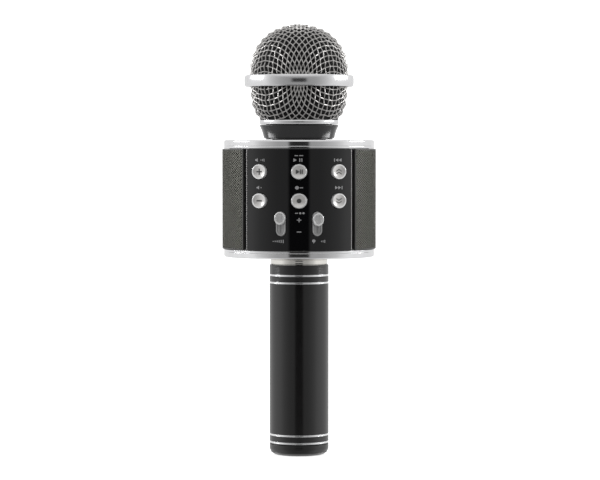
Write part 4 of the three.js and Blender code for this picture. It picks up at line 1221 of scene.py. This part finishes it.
def surround_and_spider():
    """The rubber roll round the cone's edge, and the corrugated cloth ring that centres the coil."""
    def half_round(radius, base, angles):
        return [(18.05 + radius * math.cos(a), base + radius * math.sin(a), 0) for a in angles]

    over = half_round(1.1, 25.7, np.linspace(0, math.pi, 17))
    under = half_round(0.6, 25.5, np.linspace(math.pi, 0, 13))
    roll = [(15.9, 24.6), (17.3, 24.6), *under, (20.1, 25.6), (20.1, 26.0), *over, (16.8, 25.1), (15.9, 25.1)]
    flexing(driver_part("driver_surround", roll, RUBBER, None, "black_plastic"))
    r = np.linspace(8.6, 12.4, 49)
    wave = 14.1 - 0.75 * (r - 8.6) / 3.8 + 0.14 * np.cos(2 * math.pi * (r - 8.6) / 0.95)
    cloth = [(x, y, 0) for x, y in zip(r, wave)] + [(x, y + 0.28, 0) for x, y in zip(r[::-1], wave[::-1])]
    flexing(driver_part("driver_spider", cloth, CLOTH, None, "spider_cloth"))


# ---- Neck and head ----

NECK_WALL = [
    (12.0, 168.5), (14.7, 168.5), (14.7, 174.5), (18.6, 174.5), (18.6, 175.15), (19.5, 175.2), (20.0, 177.4),
    (20.7, 179.6), (21.7, 181.8), (21.85, 182.5), (18.5, 182.5), (18.5, 176.0), (12.0, 176.0),
]
RING_LEVELS = (182.8, 185.2)
THREAD = {"inner": 16.8, "outer": 18.2, "bottom": 176.4, "pitch": 1.0, "depth": 0.3}
DOME = {"radius": 27.5, "centre": 210.5, "height": 27.7, "squareness": 2.15, "bottom": 206.2}
BASKET = [(22.0, 185.7), (24.2, 189.0), (25.8, 192.6), (26.6, 197.0), (27.2, 203.0), (27.4, 206.4)]
NET_PITCH = 3.0
NET_RADIUS = 0.34
NET_SINK = 0.72
NET_SAMPLES = 5


def neck():
    wall = rounded([(r, z, 0.3) for r, z in NECK_WALL], 0.3)
    return Shape().put(*lathe(wall, FINE_ROUND)).make("neck", [NECK], "black_plastic")


def head_ring():
    """The silver ring and its threaded skirt; the thread is a real helix."""
    low, high = RING_LEVELS
    radius = reach("head_ring")
    sides = FULL_ROUND
    start, end = THREAD["bottom"] + 0.6, low - 0.5
    steps = 12
    z = np.arange(start, end, THREAD["pitch"] / steps)
    inner, outer, bottom, depth = (THREAD[k] for k in ("inner", "outer", "bottom", "depth"))
    outside = rounded([
        (outer, low, 0.1), (radius - 0.3, low, 0.3), (radius, (low + high) / 2, 2.5),
        (radius - 0.3, high, 0.3), (inner, high, 0.3), (inner, bottom, 0.2), (outer - depth, bottom, 0.2),
    ], 0.2)
    a = np.arange(sides) * (2 * math.pi / sides)
    rings = []
    for level in z:
        fade = min(1, (level - start) / 1.0, (end - level) / 1.0)
        wave = np.cos(2 * math.pi * (level / THREAD["pitch"]) + a)
        r = outer - depth * (1 - max(fade, 0) * (0.5 + 0.5 * wave))
        rings.append(at_level(np.stack([r * np.cos(a), r * np.sin(a)], 1), level))
    rings += [at_level(ring(r, sides), level) for r, level in outside]
    return Shape().put(*strip(rings)).make("head_ring", [CHROME], "chrome_ring", "head_thread")


def head_band():
    bottom, top = heights("head_band")
    radius = reach("head_band")
    bore = DOME["radius"] + CLEARANCE
    middle, half, bulge = (bottom + top) / 2, (top - bottom) / 2 - 0.5, 0.3
    face = [(radius - bulge * abs(t) ** 2.2, middle + half * t, 0) for t in np.linspace(-1, 1, 17)]
    edge = radius - 0.9
    wall = [(bore, bottom, 0.2), (edge, bottom, 0.3), *face, (edge, top, 0.3), (bore, top, 0.2)]
    band = Shape().put(*lathe(rounded(wall, 0.2, 8), DRUM_SIDES))
    return band.make("head_band", [CHROME], "chrome_ring", HEAD)


def dome_outline(inset, steps=60):
    """The dome's outside from the pole down to its straight side."""
    power = 2 / DOME["squareness"]
    t = np.linspace(math.pi / 2, 0, steps + 1)
    r = (DOME["radius"] - inset) * np.clip(np.cos(t), 0, 1) ** power
    r[0] = 0
    z = DOME["centre"] + (DOME["height"] - inset) * np.clip(np.sin(t), 0, 1) ** power
    return np.column_stack([r, z])


def smooth_curve(points, pieces=10):
    points = np.array(points, float)
    ends = np.concatenate([[2 * points[0] - points[1]], points, [2 * points[-1] - points[-2]]])
    made = []
    for i in range(1, len(ends) - 2):
        p0, p1, p2, p3 = ends[i - 1:i + 3]
        for t in np.arange(pieces) / pieces:
            made.append(0.5 * (2 * p1 + (p2 - p0) * t + (2 * p0 - 5 * p1 + 4 * p2 - p3) * t**2
                               + (3 * p1 - p0 - 3 * p2 + p3) * t**3))
    return np.array([*made, points[-1]])


class Turned:
    """A surface of revolution followed from its pole by the distance along it."""

    def __init__(self, outline):
        self.r, self.z = outline.T
        steps = np.linalg.norm(np.diff(outline, axis=0), axis=1)
        self.s = np.concatenate([[0], np.cumsum(steps)])
        slopes = np.gradient(outline, self.s, axis=0)
        self.dr, self.dz = unit(slopes).T

    def at(self, s, a):
        """The point at a distance from the pole and an azimuth."""
        r, z = np.interp(s, self.s, self.r), np.interp(s, self.s, self.z)
        return np.array([r * math.sin(a), -r * math.cos(a), z])

    def along(self, s, a):
        dr, dz = np.interp(s, self.s, self.dr), np.interp(s, self.s, self.dz)
        return np.array([dr * math.sin(a), -dr * math.cos(a), dz])

    def round(self, s, a):
        r = np.interp(s, self.s, self.r)
        return np.array([r * math.cos(a), r * math.sin(a), 0])

    def normal(self, s, a, down):
        """The outward direction. down is true where the outline runs downwards from its pole."""
        dr, dz = np.interp(s, self.s, self.dr), np.interp(s, self.s, self.dz)
        out = np.array([-dz * math.sin(a), dz * math.cos(a), dr])
        return -out if down else out


def net_quarter(surface, pitch):
    """Crossings of a woven net over a quarter of the surface. Every one is a pitch from the two before it.
    Rows start on the meridians at -45 and 45 degrees. A crossing is (distance from the pole, azimuth)."""
    count = int(surface.s[-1] / pitch) + 1
    corner = math.pi / 4
    net = {(0, 0): (0.0, 0.0)}
    for k in range(1, count):
        net[k, 0], net[0, k] = (k * pitch, -corner), (k * pitch, corner)
    for i in range(1, count):
        for j in range(1, count):
            if (i - 1, j) not in net or (i, j - 1) not in net:
                continue
            a, b = (surface.at(*net[c]) for c in ((i - 1, j), (i, j - 1)))
            guess = (a + b) - surface.at(*net[i - 1, j - 1])
            angle = math.atan2(guess[0], -guess[1])
            s = (net[i - 1, j][0] + net[i, j - 1][0]) / 2 + pitch * 0.7
            for _ in range(30):
                here = surface.at(s, angle)
                miss = np.array([(here - a) @ (here - a) - pitch**2, (here - b) @ (here - b) - pitch**2])
                along, across = surface.along(s, angle), surface.round(s, angle)
                slope = 2 * np.array([[(here - a) @ along, (here - a) @ across],
                                      [(here - b) @ along, (here - b) @ across]])
                if abs(np.linalg.det(slope)) < 1e-9:
                    break
                step = np.linalg.solve(slope, miss)
                s, angle = s - step[0], angle - step[1]
                if abs(miss).max() < 1e-9:
                    break
            if abs(miss).max() < 1e-4 and s < surface.s[-1] and abs(angle) <= corner + 0.01:
                net[i, j] = (s, angle)
    return net, count


def woven(outline, down, keep):
    """Wires of a woven net over a turned surface, over and under in turn. keep says which heights stay."""
    surface = Turned(outline)
    net, count = net_quarter(surface, NET_PITCH)
    inwards, outwards = range(count - 1, -1, -1), range(1, count)

    def over(number):
        return 1 if number % 2 else -1

    def crossing(quarter, i, j):
        s, a = net[i, j]
        turn = a + quarter * math.pi / 2
        return surface.at(s, turn), surface.normal(s, turn, down)

    paths, ups = [], []

    def add_wire(stops):
        """stops are crossings with +1 where the wire is over and -1 where it is under."""
        run = []
        for stop in [*stops, None]:
            if stop is not None and keep(stop[0][2]):
                run.append(stop)
                continue
            if len(run) > 1:
                finish_run(run)
            run = []

    def finish_run(run):
        places, normals, sides = (np.array([stop[k] for stop in run]) for k in range(3))
        t = np.arange(0, (len(run) - 1) * NET_SAMPLES + 1) / NET_SAMPLES
        index = np.arange(len(run))
        path = smooth_curve(places, NET_SAMPLES)
        up = unit(np.stack([np.interp(t, index, normals[:, c]) for c in range(3)], 1))
        wave = sides[0] * np.cos(math.pi * t)
        paths.append(path + up * (NET_RADIUS * wave)[:, None])
        ups.append(up)

    for quarter in range(4):
        for j in range(1, count):
            first = [(*crossing(quarter, i, j), over(i + j)) for i in inwards if (i, j) in net]
            second = [crossing(quarter + 1, j, k) for k in outwards if (j, k) in net]
            add_wire(first + [(*stop, over(j + k + 1)) for k, stop in enumerate(second)])
    for quarter in range(2):
        first = [(*crossing(quarter, i, 0), over(i + quarter + 1)) for i in inwards if (i, 0) in net]
        second = [(*crossing(quarter + 2, i, 0), over(i + quarter + 1)) for i in outwards if (i, 0) in net]
        add_wire(first + second)
    return tubes(paths, ups, NET_RADIUS, 8)


def head_meshes():
    dome = dome_outline(NET_SINK)
    dome = np.concatenate([dome, [(dome[-1, 0], DOME["centre"] - 2.5), (dome[-1, 0], DOME["bottom"] - 0.8)]])
    wires = woven(dome, True, lambda z: z > DOME["bottom"])
    Shape().put(*wires).make("head_mesh_upper", [WIRE], "wire_mesh", HEAD)
    side = smooth_curve([(r - NET_SINK, z) for r, z in BASKET])
    floor = side[0][1] - 2.0
    base = smooth_curve([(0, floor), (8, floor), (15, floor), (19.5, floor + 0.3), tuple(side[0])])
    wires = woven(np.concatenate([base[:-1], side]), False, lambda z: z > BASKET[0][1] - 0.6)
    Shape().put(*wires).make("head_mesh_lower", [WIRE], "wire_mesh", HEAD)


def head_foam():
    """The open-cell lining of the whole head."""
    inset, thick = 1.75, 2.75

    def side(extra):
        return [(24.8 - extra, 197.0), (22.4 - extra, 189.4), (20.6 - extra, 185.35)]

    outer, inner = dome_outline(inset, 40), dome_outline(inset + thick, 36)
    profile = np.concatenate([outer, side(0), side(thick)[::-1], inner[::-1]])
    piece = Shape().put(*lathe(profile, FINE_ROUND)).make("head_foam", [FOAM], "foam", HEAD)
    return piece


def capsule():
    """The microphone capsule: a steel can with a ring of sound holes in its face."""
    bottom, top = heights("mic_capsule")
    radius = reach("mic_capsule")
    can = Shape()
    holes = [ring(0.55, 16, (r * math.cos(a), r * math.sin(a)))
             for r, n in ((3.0, 6), (5.8, 12)) for a in np.arange(n) * (2 * math.pi / n)]
    can.plate(ring(radius, 72), [*holes, ring(0.7, 20)], top - 0.8, top, 0.12)
    can.plate(ring(radius, 72), (), bottom, top - 1.1, 0.2)
    can.plate(ring(radius - 0.15, 72), (), top - 1.12, top - 0.78, 0.05, mark=1)
    return can.make("mic_capsule", [STEEL, BACKING], "steel")


# ---- Pieces carried over from the frame ----


def finish_carried():
    """Gives the frame's own inner pieces their materials."""
    carried = {
        "driver_basket": STEEL, "driver_magnet": FERRITE, "capsule_mount": PLASTIC,
        "handle_harness": JACKET, "mic_lead": JACKET, "main_board": BOARD, "left_key_board": BOARD,
        "right_key_board": BOARD, "echo_slide_pot": STEEL, "mic_slide_pot": STEEL,
    }
    carried.update({f"{name}_switch": PLASTIC for name in KEYS})
    carried.update({f"driver_screw_{k}": STEEL for k in range(1, 5)})
    for node, finish in carried.items():
        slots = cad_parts[node].data.materials
        slots.clear()
        slots.append(finish)


# ---- Studio: lengths in metres, angles in degrees, power in watts ----

SURROUND = [  # degrees from straight ahead of the panel, and the tone there
    (180, 0.85), (130, 0.87), (110, 0.9), (90, 0.92), (75, 0.88),
    (60, 0.62), (45, 0.47), (33, 0.38), (20, 0.36), (0, 0.36),
]
CARD = {"half_width": 15.5, "half_height": 9.0, "soft": 2.0, "tone": 0.06}  # straight ahead of the panel
CANOPY = {"low": 9.0, "high": 24.0, "tone": 0.8}  # degrees above the horizon where the front brightens
FLOOR_GLOW = 0.75
FLOOR_SINK = -0.0003
STUDIO_RADIUS = 7.0
SOFT_BOXES = {"left soft box": -102, "right soft box": 102}  # azimuths
SOFT_BOX = {"elevation": 14, "distance": 1.8, "size": (1.1, 0.36), "power": 9.5}
CAMERA = {"lens": 161.63, "sensor": 36.0, "x": 0.0005, "distance": 1.492, "height": 0.1696, "dip": 1.952}


def world_light():
    """A soft surround: white behind, dimmer in front at eye level, with a dark card in the middle there."""
    world = bpy.data.worlds.new("studio")
    bpy.context.scene.world = world
    world.use_nodes = True
    tree = world.node_tree
    tree.nodes.clear()

    def node(kind, *values, operation=None):
        made = tree.nodes.new("ShaderNode" + kind)
        if operation:
            made.operation = operation
        for socket, value in zip(made.inputs, values):
            if isinstance(value, bpy.types.NodeSocket):
                tree.links.new(value, socket)
            elif value is not None:
                socket.default_value = value
        return made.outputs[0]

    def calc(operation, a, b=None):
        return node("Math", a, b, operation=operation)

    parts = tree.nodes.new("ShaderNodeSeparateXYZ")
    tree.links.new(node("TexCoord"), parts.inputs[0])
    x, y, z = parts.outputs
    flat = calc("SQRT", calc("ADD", calc("MULTIPLY", x, x), calc("MULTIPLY", y, y)))
    forward = calc("DIVIDE", calc("MULTIPLY", y, -1.0), calc("MAXIMUM", flat, 1e-4))
    ramp = tree.nodes.new("ShaderNodeValToRGB")
    tree.links.new(node("MapRange", forward, -1.0, 1.0, 0.0, 1.0), ramp.inputs[0])
    stops = ramp.color_ramp.elements
    while len(stops) < len(SURROUND):
        stops.new(0.5)
    for stop, (angle, tone) in zip(stops, SURROUND):
        stop.position = (1 + math.cos(math.radians(angle))) / 2
        stop.color = (tone, tone, tone, 1)

    def beyond(value, half):
        low, high = (math.sin(math.radians(half + side * CARD["soft"])) for side in (-1, 1))
        return node("MapRange", calc("ABSOLUTE", value), low, high, 0.0, 1.0)

    off_card = calc("MAXIMUM", beyond(x, CARD["half_width"]), beyond(z, CARD["half_height"]))
    off_card = calc("MAXIMUM", off_card, calc("GREATER_THAN", y, 0.0))
    dimmed = node("MapRange", off_card, 0.0, 1.0, CARD["tone"], 1.0)
    low, high = (math.sin(math.radians(CANOPY[k])) for k in ("low", "high"))
    canopy = node("MapRange", z, low, high, 0.0, CANOPY["tone"])
    tone = tree.nodes.new("ShaderNodeSeparateXYZ")
    tree.links.new(ramp.outputs[0], tone.inputs[0])
    lit = node("Background", (1, 1, 1, 1), calc("MULTIPLY", calc("MAXIMUM", tone.outputs[0], canopy), dimmed))
    tree.links.new(lit, tree.nodes.new("ShaderNodeOutputWorld").inputs["Surface"])


def soft_box(name, azimuth):
    """A wide area light at one side, turned to the drum."""
    data = bpy.data.lights.new(name, "AREA")
    data.shape, data.energy = "RECTANGLE", SOFT_BOX["power"]
    data.size, data.size_y = SOFT_BOX["size"]
    light = bpy.data.objects.new(name, data)
    bpy.context.scene.collection.objects.link(light)
    a, e = math.radians(azimuth), math.radians(SOFT_BOX["elevation"])
    away = Vector((math.sin(a) * math.cos(e), -math.cos(a) * math.cos(e), math.sin(e)))
    light.location = Vector((0, 0, DRIVER_HEIGHT * MM)) + SOFT_BOX["distance"] * away
    light.rotation_euler = away.to_track_quat("Z", "Y").to_euler()
    light.visible_camera = False


def glowing(name, strength):
    """A plain pale matt finish that also glows a little."""
    finish = Finish(name, (0.9, 0.9, 0.9), 0.9)
    finish.vary_color(finish.noise(400.0), (0.87, 0.87, 0.87))
    finish.set("Emission Color", (1, 1, 1, 1))
    finish.set("Emission Strength", strength)
    return finish.material


def seen_only(name, points, faces, finish):
    """A piece of the studio that shows behind the microphone and is left out of its reflections."""
    mesh = bpy.data.meshes.new(name)
    mesh.from_pydata(points, [], faces)
    mesh.materials.append(finish)
    piece = bpy.data.objects.new(name, mesh)
    bpy.context.scene.collection.objects.link(piece)
    piece.visible_diffuse = piece.visible_glossy = piece.visible_transmission = False
    return piece


def floor():
    far, low = STUDIO_RADIUS, FLOOR_SINK
    corners = [(-far, -far, low), (far, -far, low), (far, far, low), (-far, far, low)]
    seen_only("floor", corners, [(0, 1, 2, 3)], glowing("pale floor", FLOOR_GLOW))


def backdrop():
    """A white dome all round, so that the ground behind is plain from every side."""
    t = np.linspace(-math.pi / 2, math.pi / 2, 13)
    profile = np.stack([STUDIO_RADIUS * np.cos(t), STUDIO_RADIUS * np.sin(t)], 1)
    profile[0, 0] = profile[-1, 0] = 0
    points, faces = lathe(profile, 32)
    dome = seen_only("backdrop", points.tolist(), faces, glowing("white backdrop", 1.0))
    dome.visible_shadow = False


def camera():
    """A long lens straight in front, a little above the drum and tipped down."""
    data = bpy.data.cameras.new("camera")
    data.lens, data.sensor_width = CAMERA["lens"], CAMERA["sensor"]
    eye = bpy.data.objects.new("camera", data)
    bpy.context.scene.collection.objects.link(eye)
    eye.location = (CAMERA["x"], -CAMERA["distance"], CAMERA["height"])
    eye.rotation_euler = (math.radians(90 - CAMERA["dip"]), 0, 0)
    bpy.context.scene.camera = eye


# ---- The microphone and the studio ----

for make in (
    end_cap, handle_tube, handle_collar, lock_nut, battery, port_board, charge_port, audio_jack,
    power_switch, bottom_cover, top_cover, cover_screws, speaker_barrel, grille_wrap, control_panel,
    printed_marks, cone, surround_and_spider, neck, head_ring, head_band, head_meshes, head_foam,
    capsule, finish_carried, world_light, floor, backdrop, camera,
):
    make()
for key_name, (key_azimuth, key_height) in KEYS.items():
    key(key_name, key_azimuth, key_height)
for slider, slider_side in SLIDERS.items():
    slider_trough(slider, slider_side)
    slider_knob(slider, slider_side)
for box_name, box_azimuth in SOFT_BOXES.items():
    soft_box(box_name, box_azimuth)
bpy.context.scene.view_settings.view_transform = "Standard"
